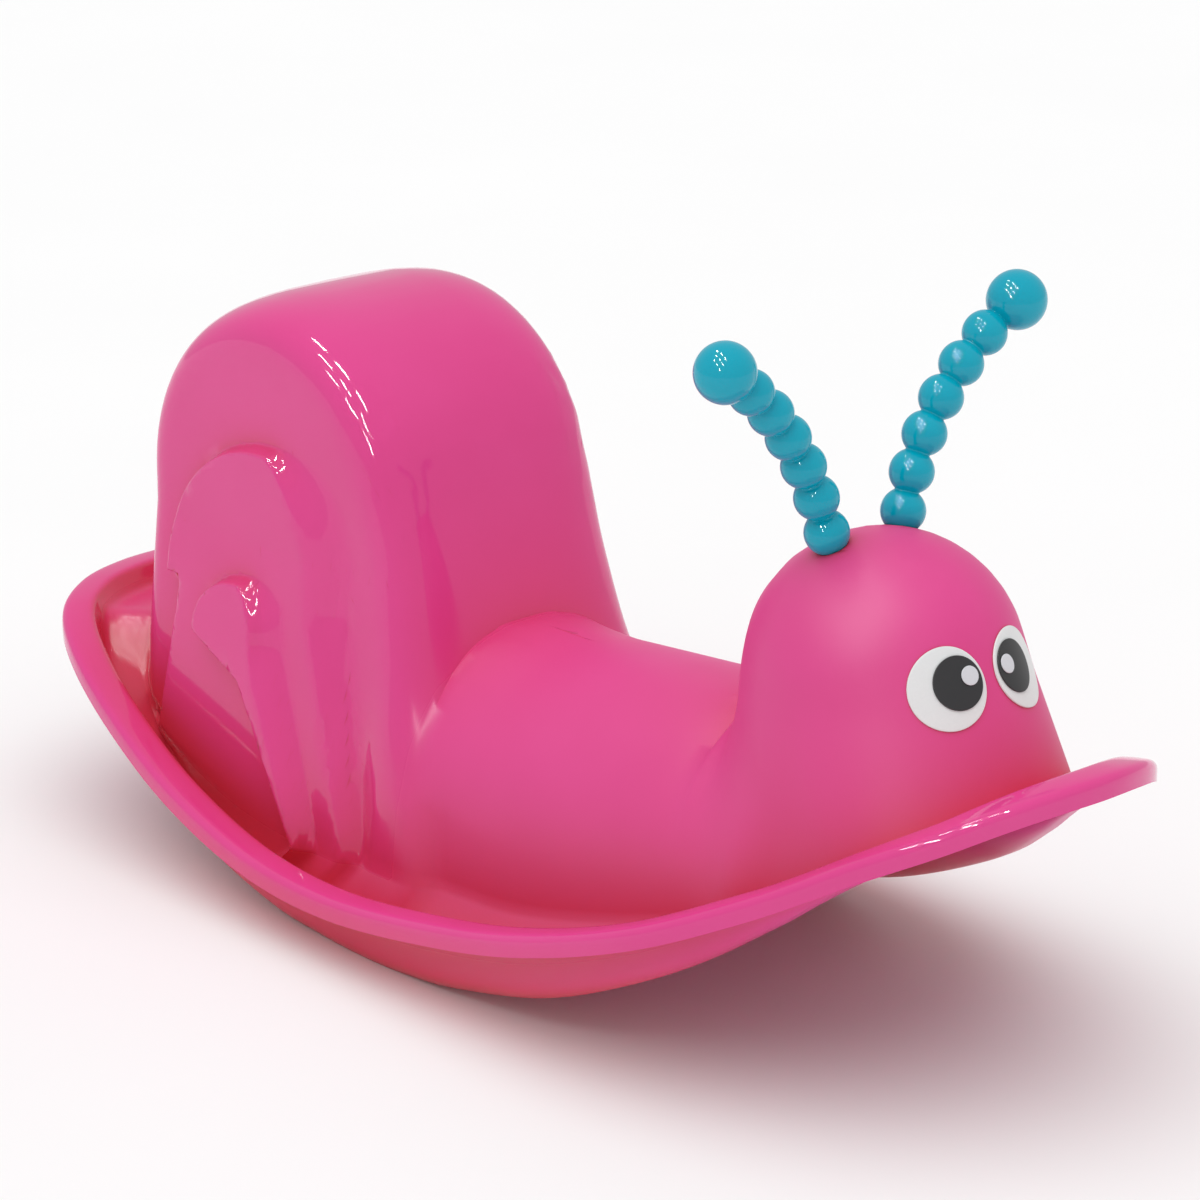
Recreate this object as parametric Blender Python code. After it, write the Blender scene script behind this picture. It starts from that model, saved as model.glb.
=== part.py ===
"""Kids' rocking seesaw shaped like a snail.

One thin open-bottomed plastic shell carries everything: a rim all round, two rocker troughs that are
also the foot wells, a tall arched backrest, a saddle seat and a round head. Two strings of beads are the
handles and layered discs are the eyes. Metres, +X toward the head, +Y the toy's left, +Z up.
"""

import math

import bmesh
import bpy
import numpy as np
from mathutils import Matrix, Vector

# Overall sizes: wall thickness, gap between pieces, and the flat runner pads under the troughs
WALL = 0.0034
GAP = 0.0003
PAD_MIDDLE = -0.0375
PAD_HALF_LENGTH = 0.064
PAD_CUT_REACH = 0.2
PAD_CUT_DEPTH = 0.01

# Rim: a cross-section of (inset, height above the lip's lower edge), then the wall down into the trough
RIM_SECTION = [
    (0.0000, 0.0000),
    (0.0000, 0.0075),
    (0.0012, 0.0106),
    (0.0045, 0.0124),
    (0.0150, 0.0128),
    (0.0190, 0.0117),
    (0.0210, 0.0085),
]
WALL_SECTION = [(0.0235, 0.50), (0.0255, 0.15), (0.0290, 0.0)]

# Rim outline from the nose to the tail: distance ahead, half-width, height of the lip's lower edge
RIM_OUTLINE = [
    (0.4015, 0.000, 0.1835),
    (0.3980, 0.026, 0.1820),
    (0.3860, 0.055, 0.1755),
    (0.3640, 0.083, 0.1625),
    (0.3295, 0.109, 0.1441),
    (0.2775, 0.135, 0.1149),
    (0.2135, 0.159, 0.0856),
    (0.1335, 0.168, 0.0592),
    (0.0535, 0.168, 0.0414),
    (-0.0365, 0.167, 0.0296),
    (-0.1165, 0.164, 0.0327),
    (-0.1965, 0.157, 0.0505),
    (-0.2665, 0.146, 0.0756),
    (-0.3215, 0.131, 0.0971),
    (-0.3615, 0.109, 0.1091),
    (-0.3865, 0.077, 0.1141),
    (-0.3985, 0.040, 0.1156),
    (-0.4015, 0.000, 0.1156),
]

# Trough: distance ahead, floor height, height where the body's side begins
TROUGH = [
    (0.390, 0.1830, 0.1840),
    (0.358, 0.1650, 0.1680),
    (0.333, 0.1510, 0.1550),
    (0.313, 0.1390, 0.1450),
    (0.288, 0.1205, 0.1300),
    (0.263, 0.1010, 0.1140),
    (0.213, 0.0675, 0.0870),
    (0.133, 0.0310, 0.0600),
    (0.053, 0.0105, 0.0410),
    (0.003, 0.0040, 0.0370),
    (-0.038, 0.0024, 0.0350),
    (-0.078, 0.0040, 0.0350),
    (-0.120, 0.0072, 0.0360),
    (-0.187, 0.0215, 0.0450),
    (-0.247, 0.0450, 0.0620),
    (-0.287, 0.0640, 0.0780),
    (-0.303, 0.0730, 0.0900),
    (-0.316, 0.0800, 0.1130),
    (-0.377, 0.1120, 0.1200),
]
FLOOR_BELOW_LIP = 0.003
FLOOR_FLAT_SHARE = 0.3

# The floor curves up to the body softly in front and late behind: power in front, growth, start, length
FLOOR_POWER = (1.4, 2.6, -0.10, 0.12)

# Shelf that closes the trough behind the backrest
SHELF_HEIGHT = 0.1136
SHELF_EDGE = (-0.322, 0.068)
SHELF_NORMAL = (-0.56, 0.83)
SHELF_SLOPE = 0.014
SHELF_STEP = 0.001

# Head dome in side view: its round centre, then how its face leans and its foot widens
HEAD_CENTRE = (0.2415, 0.2140)
HEAD_RADIUS = 0.0768
FACE_TILT = math.radians(25.5)
CHIN_HEIGHT = 0.1780
HEAD_FLARE = 0.10

# Seat: half-round saddle that fades out into the backrest and the head
SEAT_HEIGHT = 0.1685
SEAT_RISE = 0.085
SEAT_HALF = 0.090
SEAT_FLARE = 0.06
SEAT_FLARE_TOP = 0.14
SEAT_BACK = -0.125
SEAT_BACK_FADE = 0.06
SEAT_FRONT = 0.315
SEAT_FRONT_FADE = 0.10
LUMBAR_X = -0.0465

# Backrest: a tall arch in side view, its edge rounded over a depth toward a flat side
ARCH_CENTRE = (-0.1920, 0.2193)
ARCH_RADIUS = 0.1225
BACK_TILT = math.radians(15.5)
SHELL_HALF = 0.083
SHELL_FLARE = 0.11
SHELL_FLARE_TOP = 0.20
SHELL_DEPTH = 0.032
SHELL_SQUARENESS = 3.2
FORM_BLEND = 10

# Nested arches on the side: middle, height where the curve springs, crown, reach astern, reach ahead and
# how much the front edge leans out below the spring
ARCH_STEP = 0.011
SECOND_ARCH = (-0.1780, 0.1720, 0.2600, 0.0940, 0.0730, 0.23)
THIRD_ARCH = (-0.1870, 0.1450, 0.1810, 0.0440, 0.0370, 0.40)
LIP_WIDTH = 0.0050
SLOPE_WIDTH = 0.0100
SLOPE_GROWTH = 0.150
SLOPE_FROM = 0.05
SLOPE_SPREAD = 0.6
NOTCH_HEIGHT = 0.1640
REAR_CORNER = ((-0.2695, 0.0640), (-0.2570, 0.1580))
COIL_END_UPPER = ((-0.2306, 0.1410), (-0.1820, 0.1200))
COIL_END_LOWER = ((-0.1820, 0.1200), (-0.1270, 0.0410))

# Rib angles in degrees, 0 at the nose: where the middle line reaches each part of the toy
BROW = 28
HEAD_BACK = 56
NAPE = 63
LUMBAR = 98
SHOULDER = 112
ARCH_BACK = 148
TAIL = 180

# Where each rib reaches the foot of the body: rib angle, distance ahead
BODY_FOOT = [
    (0, 0.3499),
    (20, 0.3299),
    (40, 0.2722),
    (NAPE, 0.1685),
    (80, 0.0754),
    (LUMBAR, -0.0285),
    (SHOULDER, -0.0980),
    (128, -0.1480),
    (ARCH_BACK, -0.2000),
    (160, -0.2400),
    (170, -0.2790),
    (TAIL, -0.3145),
]

# Bead strings, and how each one leans, bends at every bead and sways forward
BEAD_RADIUS = 0.0125
BALL_RADIUS = 0.0170
BEAD_STEP = 0.0215
BALL_STEP = 0.0263
BEADS = 6
ANTENNA_WALL = 0.0026
BALL_HOLLOW_REACH = 0.0105
ANTENNA_FOOT = Vector((0.2254, 0.0286, 0.2925))
ANTENNA_LEAN = math.radians(15.5)
ANTENNA_BEND = math.radians(7.1)
ANTENNA_SWAY = 0.032

# Feet of the bead strings: spigot in a socket of the head, held from below by a screw through a boss
SEAT_DROP = 0.0100
SPIGOT_RADIUS = 0.0060
SPIGOT_LENGTH = 0.0170
SPIGOT_CHAMFER = 0.0008
SOCKET_BELOW = 0.0030
BOSS_RADIUS = 0.0100
BOSS_EXTRA = 0.0005
BOSS_UNDER_SKIN = 0.0017
PILOT_RADIUS = 0.0020
WASHER_RADIUS = 0.0090
WASHER_THICKNESS = 0.0012
SCREW_RADIUS = 0.0017
SCREW_HEAD_RADIUS = 0.0042
SCREW_HEAD_HEIGHT = 0.0026
SCREW_LENGTH = 0.0140
SCREW_TIP = 0.0020

# Eyes: centre of the white on the head, outward direction, then each layer's radius, thickness and
# place on the eye (toward the middle, up) and number of sides
EYE_CENTRE = Vector((0.3132, 0.0256, 0.2269))
EYE_NORMAL = Vector((0.847, 0.320, 0.420)).normalized()
EYE_LAYERS = [
    ("white", 0.0224, 0.0008, (0.0000, 0.0000), 28),
    ("pupil", 0.0146, 0.0006, (0.0056, 0.0023), 24),
    ("glint", 0.0052, 0.0005, (0.0126, 0.0055), 16),
]

# Ribs of the shell: from this angle, to that angle, how many; then points along each stretch of a rib
DETAIL = 1
STATIONS = [
    (0, BROW, 6),
    (BROW, HEAD_BACK, 8),
    (HEAD_BACK, NAPE, 2),
    (NAPE, LUMBAR, 7),
    (LUMBAR, SHOULDER, 4),
    (SHOULDER, ARCH_BACK, 13),
    (ARCH_BACK, TAIL, 11),
]
FLOOR_POINTS = 3
SIDE_POINTS = 13
SIDE_CROWDING = 1.9
LIP_SAMPLES = 400
LIP_PULL = 0.35
LIP_PULL_LIMIT = 0.05


def smooth_through(rows, positions):
    """Catmull-Rom curve through the rows, at the given row positions."""
    rows = np.asarray(rows, float)
    ahead = 2 * rows[0] - rows[1]
    behind = 2 * rows[-1] - rows[-2]
    rows = np.vstack([ahead, rows, behind])
    positions = np.clip(np.asarray(positions, float), 0, len(rows) - 3 - 1e-9)
    step = positions.astype(int)
    t = (positions - step)[:, None]
    a, b, c, d = (rows[step + k] for k in range(4))
    return 0.5 * (2 * b + (c - a) * t + (2 * a - 5 * b + 4 * c - d) * t**2 + (3 * b - a - 3 * c + d) * t**3)


def soft_step(value):
    """0 below 0, 1 above 1, and a smooth rise between."""
    value = np.clip(value, 0, 1)
    return value * value * (3 - 2 * value)


def rim_at(angles):
    """Rim points (ahead, half-width, height) for station angles, 0 at the nose and pi at the tail."""
    over_nose, over_tail = [(x, -y, z) for x, y, z in (RIM_OUTLINE[1], RIM_OUTLINE[-2])]
    rows = [over_nose, *RIM_OUTLINE, over_tail]
    dense = smooth_through(rows, np.linspace(1, len(rows) - 2, 600))
    middle = (dense[0, 0] + dense[-1, 0]) / 2
    reach = (dense[0, 0] - dense[-1, 0]) / 2
    dense_angle = np.arccos(np.clip((dense[:, 0] - middle) / reach, -1, 1))
    return np.stack([np.interp(angles, dense_angle, dense[:, k]) for k in range(3)], 1)


def on_circle(centre, radius, turn):
    """Point of a circle in side view."""
    return centre[0] + radius * math.cos(turn), centre[1] + radius * math.sin(turn)


def arc_rows(centre, radius, tilt, first, last, steps):
    """Middle-line rows round a top, from its tilted front to its back, over a range of rib angles."""
    rows = []
    for turn in np.linspace(tilt, math.pi, steps + 1)[1:]:
        angle = first + (last - first) * (turn - tilt) / (math.pi - tilt)
        rows.append((angle, *on_circle(centre, radius, turn)))
    return rows


def top_rows():
    """The middle line of the toy in side view, from the face to the tail: rib angle, ahead, height."""
    brow = on_circle(HEAD_CENTRE, HEAD_RADIUS, FACE_TILT)
    chin = (brow[0] + (brow[1] - CHIN_HEIGHT) * math.tan(FACE_TILT), CHIN_HEIGHT)
    nape_x = HEAD_CENTRE[0] - HEAD_RADIUS
    shoulder = on_circle(ARCH_CENTRE, ARCH_RADIUS, BACK_TILT)
    lumbar_z = float(seat_height(LUMBAR_X))
    lumbar_x = shoulder[0] + (shoulder[1] - lumbar_z) * math.tan(BACK_TILT)
    rows = [(0, *chin), (BROW, *brow)]
    rows += arc_rows(HEAD_CENTRE, HEAD_RADIUS, FACE_TILT, BROW, HEAD_BACK, 12)
    for share in (0, 0.25, 0.5, 0.75):
        x = nape_x + (lumbar_x - nape_x) * share
        rows.append((NAPE + (LUMBAR - NAPE) * share, x, float(seat_height(x))))
    rows += [(LUMBAR, lumbar_x, lumbar_z), (SHOULDER, *shoulder)]
    rows += arc_rows(ARCH_CENTRE, ARCH_RADIUS, BACK_TILT, SHOULDER, ARCH_BACK, 16)
    rows.append((TAIL, ARCH_CENTRE[0] - ARCH_RADIUS, SHELF_HEIGHT + SHELF_STEP))
    return np.array(rows)


def station_angles():
    """Angles of the ribs round one side, closer together where the form turns quickly."""
    angles = []
    for first, last, count in STATIONS:
        angles += list(np.linspace(first, last, DETAIL * count, endpoint=False))
    return np.radians([*angles, TAIL])


def top_at(angles):
    """Points of the middle line (ahead, height) for rib angles."""
    rows = top_rows()
    return np.stack([np.interp(np.degrees(angles), rows[:, 0], rows[:, k]) for k in (1, 2)], 1)


def seat_height(x):
    """Height of the seat's middle line."""
    return SEAT_HEIGHT + SEAT_RISE * np.maximum(x, 0)


def inside_arch(x, z, centre, radius, tilt):
    """Distance inside a shape with a round top, an upright back and a front that leans out by the tilt."""
    px = x - centre[0]
    pz = z - centre[1]
    front = radius - (px * math.cos(tilt) + pz * math.sin(tilt))
    low = np.minimum(front, radius + px)
    high = radius - np.hypot(px, pz)
    below_front = pz * math.cos(tilt) < px * math.sin(tilt)
    return np.where((pz < 0) | below_front, np.where((pz > 0) & (px < 0), high, low), high)


def rounded(depth, inside, square):
    """Share of the full half-width at a distance inside the outline: 0 on it, 1 beyond the depth."""
    left = 1 - np.clip(inside / depth, 0, 1)
    return (1 - left**square) ** (1 / square)


def arch_radius(x, z, arch):
    """How far out a point of the side lies in a nested arch: 0 on its middle line, 1 on its edge."""
    middle, spring, crown, rear, front, lean = arch
    over = np.maximum(z - spring, 0) / (crown - spring)
    ahead = np.maximum(x - middle, 0) / (front + lean * np.maximum(spring - z, 0))
    astern = np.maximum(middle - x, 0) / rear
    return np.where(x > middle, np.cbrt(ahead**3 + over**3), np.hypot(astern, over))


def arch_inside(x, z, arch):
    """Share of a nested arch's step at a point: a crisp lip above and behind, a soft slope in front."""
    middle, spring, crown, rear, front, lean = arch
    crisp = LIP_WIDTH / rear
    slope = SLOPE_WIDTH + SLOPE_GROWTH * np.clip(z, SLOPE_FROM, spring)
    soft = slope / (front + lean * np.maximum(spring - z, 0))
    edge = crisp + (soft - crisp) * soft_step((x - middle) / (SLOPE_SPREAD * front))
    return soft_step((1 - arch_radius(x, z, arch)) / edge)


def above_line(x, z, start, end):
    """Signed distance from a line in side view, positive above it when it runs forward."""
    run = (end[0] - start[0], end[1] - start[1])
    return ((z - start[1]) * run[0] - (x - start[0]) * run[1]) / math.hypot(*run)


def arch_steps(x, z):
    """The two nested arches together, in steps of relief, with their lower rear corners cut away."""
    second = np.maximum(z - NOTCH_HEIGHT, -above_line(x, z, *REAR_CORNER))
    third = np.maximum(above_line(x, z, *COIL_END_UPPER), above_line(x, z, *COIL_END_LOWER))
    second = soft_step(0.5 + second / LIP_WIDTH) * arch_inside(x, z, SECOND_ARCH)
    return second + soft_step(0.5 + third / LIP_WIDTH) * arch_inside(x, z, THIRD_ARCH)


def half_width(x, z):
    """Half-width of the body at a point of the side view: the widest of head, seat and shell."""
    head = HEAD_RADIUS + HEAD_FLARE * np.maximum(HEAD_CENTRE[1] - z, 0)
    head = head * rounded(HEAD_RADIUS, inside_arch(x, z, HEAD_CENTRE, HEAD_RADIUS, FACE_TILT), 2)
    seat = SEAT_HALF + SEAT_FLARE * np.maximum(SEAT_FLARE_TOP - z, 0)
    seat = seat * rounded(SEAT_HALF, seat_height(x) - z, 2)
    seat = seat * soft_step((x - SEAT_BACK) / SEAT_BACK_FADE) * soft_step((SEAT_FRONT - x) / SEAT_FRONT_FADE)
    inside = inside_arch(x, z, ARCH_CENTRE, ARCH_RADIUS, BACK_TILT)
    shell = SHELL_HALF + SHELL_FLARE * np.maximum(SHELL_FLARE_TOP - z, 0) + ARCH_STEP * arch_steps(x, z)
    shell = shell * rounded(SHELL_DEPTH, inside, SHELL_SQUARENESS)
    return (head**FORM_BLEND + seat**FORM_BLEND + shell**FORM_BLEND) ** (1 / FORM_BLEND)


def trough_rows():
    """Smooth curve through the trough's rows, from the tail to the nose."""
    return smooth_through(TROUGH, np.linspace(0, len(TROUGH) - 1, 300))[::-1]


def floor_height(x, y):
    """Height of the trough's floor, or of the shelf behind the backrest."""
    rows = TROUGH_CURVE
    trough = np.interp(x, rows[:, 0], rows[:, 1])
    behind = SHELF_NORMAL[0] * (x - SHELF_EDGE[0]) + SHELF_NORMAL[1] * (SHELF_EDGE[1] - y)
    shelf = np.maximum(SHELF_HEIGHT, trough)
    return trough + (shelf - trough) * soft_step(0.5 + behind / SHELF_SLOPE)


def side_shares(top, base):
    """Places along one rib's side, 1 at its base and 0 at its top, gathered where it crosses a lip."""
    share = (1 - np.linspace(0, 1, LIP_SAMPLES + 1)) ** SIDE_CROWDING
    x = top[0] + (base[0] - top[0]) * share
    z = top[1] + (base[1] - top[1]) * share
    lips = np.abs(np.diff(arch_steps(x, z)))
    weight = 1 / LIP_SAMPLES + LIP_PULL * np.minimum(lips, LIP_PULL_LIMIT)
    passed = np.append(0, np.cumsum(weight))
    wanted = np.linspace(0, passed[-1], DETAIL * SIDE_POINTS + 1)
    return np.interp(wanted, passed, share)


def side_points(top, base):
    """Points up the body's side, from its base to the middle line."""
    share = side_shares(top, base)
    x = top[0] + (base[0] - top[0]) * share
    z = top[1] + (base[1] - top[1]) * share
    return np.stack([x, half_width(x, z), z], 1)


def rim_points(rim, inward):
    """Points over the lip and down the wall to the trough's floor."""
    edge_height = rim[2] + RIM_SECTION[-1][1]
    points = [(*(rim[:2] + inward * inset), rim[2] + rise) for inset, rise in RIM_SECTION]
    for inset, share in WALL_SECTION:
        x, y = rim[:2] + inward * inset
        low = min(floor_height(x, y), edge_height - FLOOR_BELOW_LIP)
        points.append((x, y, low + (edge_height - low) * share))
    steps = DETAIL * (len(points) - 1) + 1
    return smooth_through(points, np.linspace(0, len(points) - 1, steps))


def floor_points(rim, inward, base):
    """Points across the trough, level at first and then curving up to the body's base."""
    foot = rim[:2] + inward * WALL_SECTION[-1][0]
    highest = rim[2] + RIM_SECTION[-1][1] - FLOOR_BELOW_LIP
    power, growth, start, length = FLOOR_POWER
    points = []
    for share in np.linspace(0, 1, DETAIL * FLOOR_POINTS + 2)[1:-1]:
        x, y = foot + (base[:2] - foot) * share
        low = min(floor_height(x, y), highest)
        climb = max(0, share - FLOOR_FLAT_SHARE) / (1 - FLOOR_FLAT_SHARE)
        bend = power + growth * float(soft_step((start - x) / length))
        points.append((x, y, low + (base[2] - low) * climb**bend))
    return points


def rib_points(angle, rim, inward, top):
    """One rib of the shell's outer face, from the lip's lower edge up to the toy's middle line."""
    base_x = np.interp(math.degrees(angle), FOOT_CURVE[:, 0], FOOT_CURVE[:, 1])
    base_z = np.interp(base_x, TROUGH_CURVE[:, 0], TROUGH_CURVE[:, 2])
    body = side_points(top, (base_x, base_z))
    return np.vstack([rim_points(rim, inward), floor_points(rim, inward, body[0]), body])


TROUGH_CURVE = trough_rows()
FOOT_CURVE = smooth_through(BODY_FOOT, np.linspace(0, len(BODY_FOOT) - 1, 300))


def shell_mesh():
    """Half of the shell's outer face as a grid of ribs; the middle line stays at y = 0 for mirroring."""
    angles = station_angles()
    rims = rim_at(angles)
    tops = top_at(angles)
    tangent = np.gradient(rims[:, :2], axis=0)
    tangent[0] = (0, 1)
    tangent[-1] = (0, -1)
    tangent /= np.linalg.norm(tangent, axis=1)[:, None]
    inward = np.stack([-tangent[:, 1], tangent[:, 0]], 1)
    ribs = [rib_points(*each) for each in zip(angles, rims, inward, tops)]
    ribs = np.array(ribs)
    ribs[0, :, 1] = 0
    ribs[-1, :, 1] = 0
    ribs[:, -1, 1] = 0
    stations, points = ribs.shape[:2]
    faces = []
    for i in range(stations - 1):
        for j in range(points - 1):
            a = i * points + j
            faces.append((a, a + 1, a + points + 1, a + points))
    ribs[:, :, 1] *= -1
    return ribs.reshape(-1, 3), faces


def new_object(name, verts, faces, material):
    """A mesh object with one material."""
    mesh = bpy.data.meshes.new(name)
    mesh.from_pydata([tuple(v) for v in verts], [], faces)
    mesh.materials.append(material)
    obj = bpy.data.objects.new(name, mesh)
    bpy.context.scene.collection.objects.link(obj)
    return obj


def finish(name, colour, roughness, metallic=0.0):
    """A plain surface: linear colour, roughness and whether it is metal."""
    material = bpy.data.materials.new(name)
    material.use_nodes = True
    shader = material.node_tree.nodes["Principled BSDF"]
    shader.inputs["Base Color"].default_value = (*colour, 1)
    shader.inputs["Roughness"].default_value = roughness
    shader.inputs["Metallic"].default_value = metallic
    return material


def ring(centre, axis, radius, segments):
    """Points of a circle round the axis, starting toward +X."""
    axis = Vector(axis).normalized()
    across = (Vector((1, 0, 0)) - axis * axis[0]).normalized()
    up = axis.cross(across)
    turns = [2 * math.pi * k / segments for k in range(segments)]
    return [Vector(centre) + radius * (across * math.cos(t) + up * math.sin(t)) for t in turns]


def skin(rings, closed=False):
    """Join equal rings into one closed skin, capping both ends or joining the last ring to the first."""
    count = len(rings[0])
    verts = [point for one in rings for point in one]
    faces = []
    last = len(rings) if closed else len(rings) - 1
    for i in range(last):
        here = i * count
        there = (i + 1) % len(rings) * count
        for j in range(count):
            k = (j + 1) % count
            faces.append((here + j, here + k, there + k, there + j))
    if not closed:
        faces.append(tuple(range(count))[::-1])
        faces.append(tuple(range(len(verts) - count, len(verts))))
    return verts, faces


def smooth(obj, degrees=35):
    """Shade round stretches smooth and leave edges sharper than the angle as they are."""
    obj.data.shade_smooth()
    obj.data.set_sharp_from_angle(angle=math.radians(degrees))


def antenna_direction(turns):
    """Direction of the bead string after a number of bends: outward, and from slightly back to forward."""
    lean = ANTENNA_LEAN + ANTENNA_BEND * turns
    return Vector((ANTENNA_SWAY * (turns - 2), math.sin(lean), math.cos(lean))).normalized()


def bead_centres():
    """Centres of the beads and, last, of the ball, counted from the first bead."""
    centres = [Vector((0, 0, 0))]
    for bead in range(BEADS):
        step = BALL_STEP if bead == BEADS - 1 else BEAD_STEP
        centres.append(centres[-1] + antenna_direction(bead + 0.5) * step)
    return centres


def core_rings(segments):
    """Rings of the hollow inside the beads, from the ball down to the foot."""
    centres = bead_centres()
    neck = math.sqrt(BEAD_RADIUS**2 - (BEAD_STEP / 2) ** 2) - ANTENNA_WALL
    rings = []
    for along in (BALL_HOLLOW_REACH, 0, -BALL_HOLLOW_REACH):
        axis = antenna_direction(BEADS)
        radius = math.sqrt((BALL_RADIUS - ANTENNA_WALL) ** 2 - along**2)
        rings.append(ring(centres[-1] + axis * along, axis, radius, segments))
    for bead in range(BEADS - 1, -1, -1):
        between = antenna_direction(bead + 0.5)
        middle = centres[bead] + between * (BEAD_STEP / 2)
        rings.append(ring(middle, between, neck, segments))
        rings.append(ring(centres[bead], antenna_direction(bead), BEAD_RADIUS - ANTENNA_WALL, segments))
    return rings


def antenna_rings(segments):
    """Rings of the bead string: down its hollow, out of the screw's hole, then up the outside."""
    axis = antenna_direction(0)
    end = SEAT_DROP + SPIGOT_LENGTH
    foot = [
        (-SEAT_DROP, PILOT_RADIUS),
        (-end, PILOT_RADIUS),
        (-end, SPIGOT_RADIUS - SPIGOT_CHAMFER),
        (SPIGOT_CHAMFER - end, SPIGOT_RADIUS),
        (-SEAT_DROP, SPIGOT_RADIUS),
        (-SEAT_DROP, math.sqrt(BEAD_RADIUS**2 - SEAT_DROP**2)),
    ]
    rings = core_rings(segments)
    rings += [ring(axis * along, axis, radius, segments) for along, radius in foot]
    centres = bead_centres()
    half_step = BEAD_STEP / 2
    neck = math.sqrt(BEAD_RADIUS**2 - half_step**2)
    for bead in range(BEADS):
        axis = antenna_direction(bead)
        for degrees in (-38, -19, 0, 19, 38):
            turn = math.radians(degrees)
            place = centres[bead] + axis * BEAD_RADIUS * math.sin(turn)
            rings.append(ring(place, axis, BEAD_RADIUS * math.cos(turn), segments))
        between = antenna_direction(bead + 0.5)
        rings.append(ring(centres[bead] + between * half_step, between, neck, segments))
    axis = antenna_direction(BEADS)
    for degrees in (-45, -23, 0, 23, 45, 65, 82):
        turn = math.radians(degrees)
        place = centres[-1] + axis * BALL_RADIUS * math.sin(turn)
        rings.append(ring(place, axis, BALL_RADIUS * math.cos(turn), segments))
    return rings


def socket_rings(segments):
    """The space an antenna's foot needs in the head: bore, flat seat and cup for the first bead."""
    axis = antenna_direction(0)
    cup = BEAD_RADIUS + GAP
    seat = SEAT_DROP + GAP
    rows = [
        (-SEAT_DROP - SPIGOT_LENGTH - SOCKET_BELOW, SPIGOT_RADIUS + GAP),
        (-seat, SPIGOT_RADIUS + GAP),
        (-seat, math.sqrt(cup**2 - seat**2)),
    ]
    for degrees in (-38, -19, 0, 19, 38, 60):
        turn = math.radians(degrees)
        rows.append((cup * math.sin(turn), cup * math.cos(turn)))
    return [ring(axis * along, axis, radius, segments) for along, radius in rows]


def boss_rings(segments):
    """A tube boss under the head, its top following the head just inside the outer face."""
    axis = antenna_direction(0)
    bottom = ring(axis * (-SEAT_DROP - SPIGOT_LENGTH - BOSS_EXTRA), axis, BOSS_RADIUS, segments)
    middle = Vector((HEAD_CENTRE[0], 0, HEAD_CENTRE[1])) - ANTENNA_FOOT
    reach = HEAD_RADIUS - BOSS_UNDER_SKIN
    top = []
    for point in bottom:
        offset = point - middle
        along = offset.dot(axis)
        rise = -along + math.sqrt(along**2 - offset.length_squared + reach**2)
        top.append(point + axis * rise)
    return [bottom, top]


def mirrored(verts, faces):
    """The same skin on the toy's other side."""
    return [Vector((v[0], -v[1], v[2])) for v in verts], [tuple(face)[::-1] for face in faces]


def both_sides(verts, faces):
    """A skin together with its mirror copy."""
    other, other_faces = mirrored(verts, faces)
    count = len(verts)
    moved = [tuple(index + count for index in face) for face in other_faces]
    return list(verts) + other, list(faces) + moved


def box_skin(low, high):
    """A box between two corners."""
    corners = [(x, y, z) for z in (low[2], high[2]) for y in (low[1], high[1]) for x in (low[0], high[0])]
    faces = [(0, 2, 3, 1), (4, 5, 7, 6), (0, 1, 5, 4), (2, 6, 7, 3), (0, 4, 6, 2), (1, 3, 7, 5)]
    return [Vector(c) for c in corners], faces


def tool(shell, name, verts, faces, operation):
    """Add or cut a guide form on the shell; the guide itself is never shown."""
    guide = new_object(name, verts, faces, shell.data.materials[0])
    guide.hide_render = True
    guide.display_type = "WIRE"
    cut = shell.modifiers.new(name, "BOOLEAN")
    cut.operation = operation
    cut.solver = "EXACT"
    cut.object = guide


def pink_polypropylene():
    return finish("pink_plastic", (0.76, 0.06, 0.24), 0.25)


def teal_polyethylene():
    return finish("teal_plastic", (0.0, 0.35, 0.48), 0.2)


def build_shell():
    """The whole body in one moulded wall: ribs joined to a skin, mirrored and thickened, with bosses."""
    verts, faces = shell_mesh()
    shell = new_object("body_shell", verts, faces, pink_polypropylene())
    work = bmesh.new()
    work.from_mesh(shell.data)
    bmesh.ops.remove_doubles(work, verts=work.verts, dist=1e-5)
    bmesh.ops.dissolve_degenerate(work, edges=work.edges, dist=1e-6)
    work.to_mesh(shell.data)
    work.free()
    mirror = shell.modifiers.new("other side", "MIRROR")
    mirror.use_axis = (False, True, False)
    mirror.merge_threshold = 0.0001
    wall = shell.modifiers.new("wall", "SOLIDIFY")
    wall.thickness = WALL
    wall.offset = -1

    bosses, boss_faces = skin(boss_rings(24))
    bosses = [point + ANTENNA_FOOT for point in bosses]
    tool(shell, "antenna_bosses", *both_sides(bosses, boss_faces), "UNION")
    sockets, socket_faces = skin(socket_rings(24))
    sockets = [point + ANTENNA_FOOT for point in sockets]
    tool(shell, "antenna_sockets", *both_sides(sockets, socket_faces), "DIFFERENCE")
    low = (PAD_MIDDLE - PAD_HALF_LENGTH, -PAD_CUT_REACH, -PAD_CUT_DEPTH)
    high = (PAD_MIDDLE + PAD_HALF_LENGTH, PAD_CUT_REACH, 0)
    tool(shell, "runner_pads", *box_skin(low, high), "DIFFERENCE")
    smooth(shell, 40)
    return shell


def stand_on_foot(obj, drop, side):
    """Put a piece on an antenna's axis, a drop below the first bead's centre."""
    axis = antenna_direction(0)
    axis[1] *= side
    foot = Vector((ANTENNA_FOOT[0], ANTENNA_FOOT[1] * side, ANTENNA_FOOT[2]))
    obj.location = foot - axis * drop
    obj.rotation_euler = axis.to_track_quat("Z", "Y").to_euler()


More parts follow.
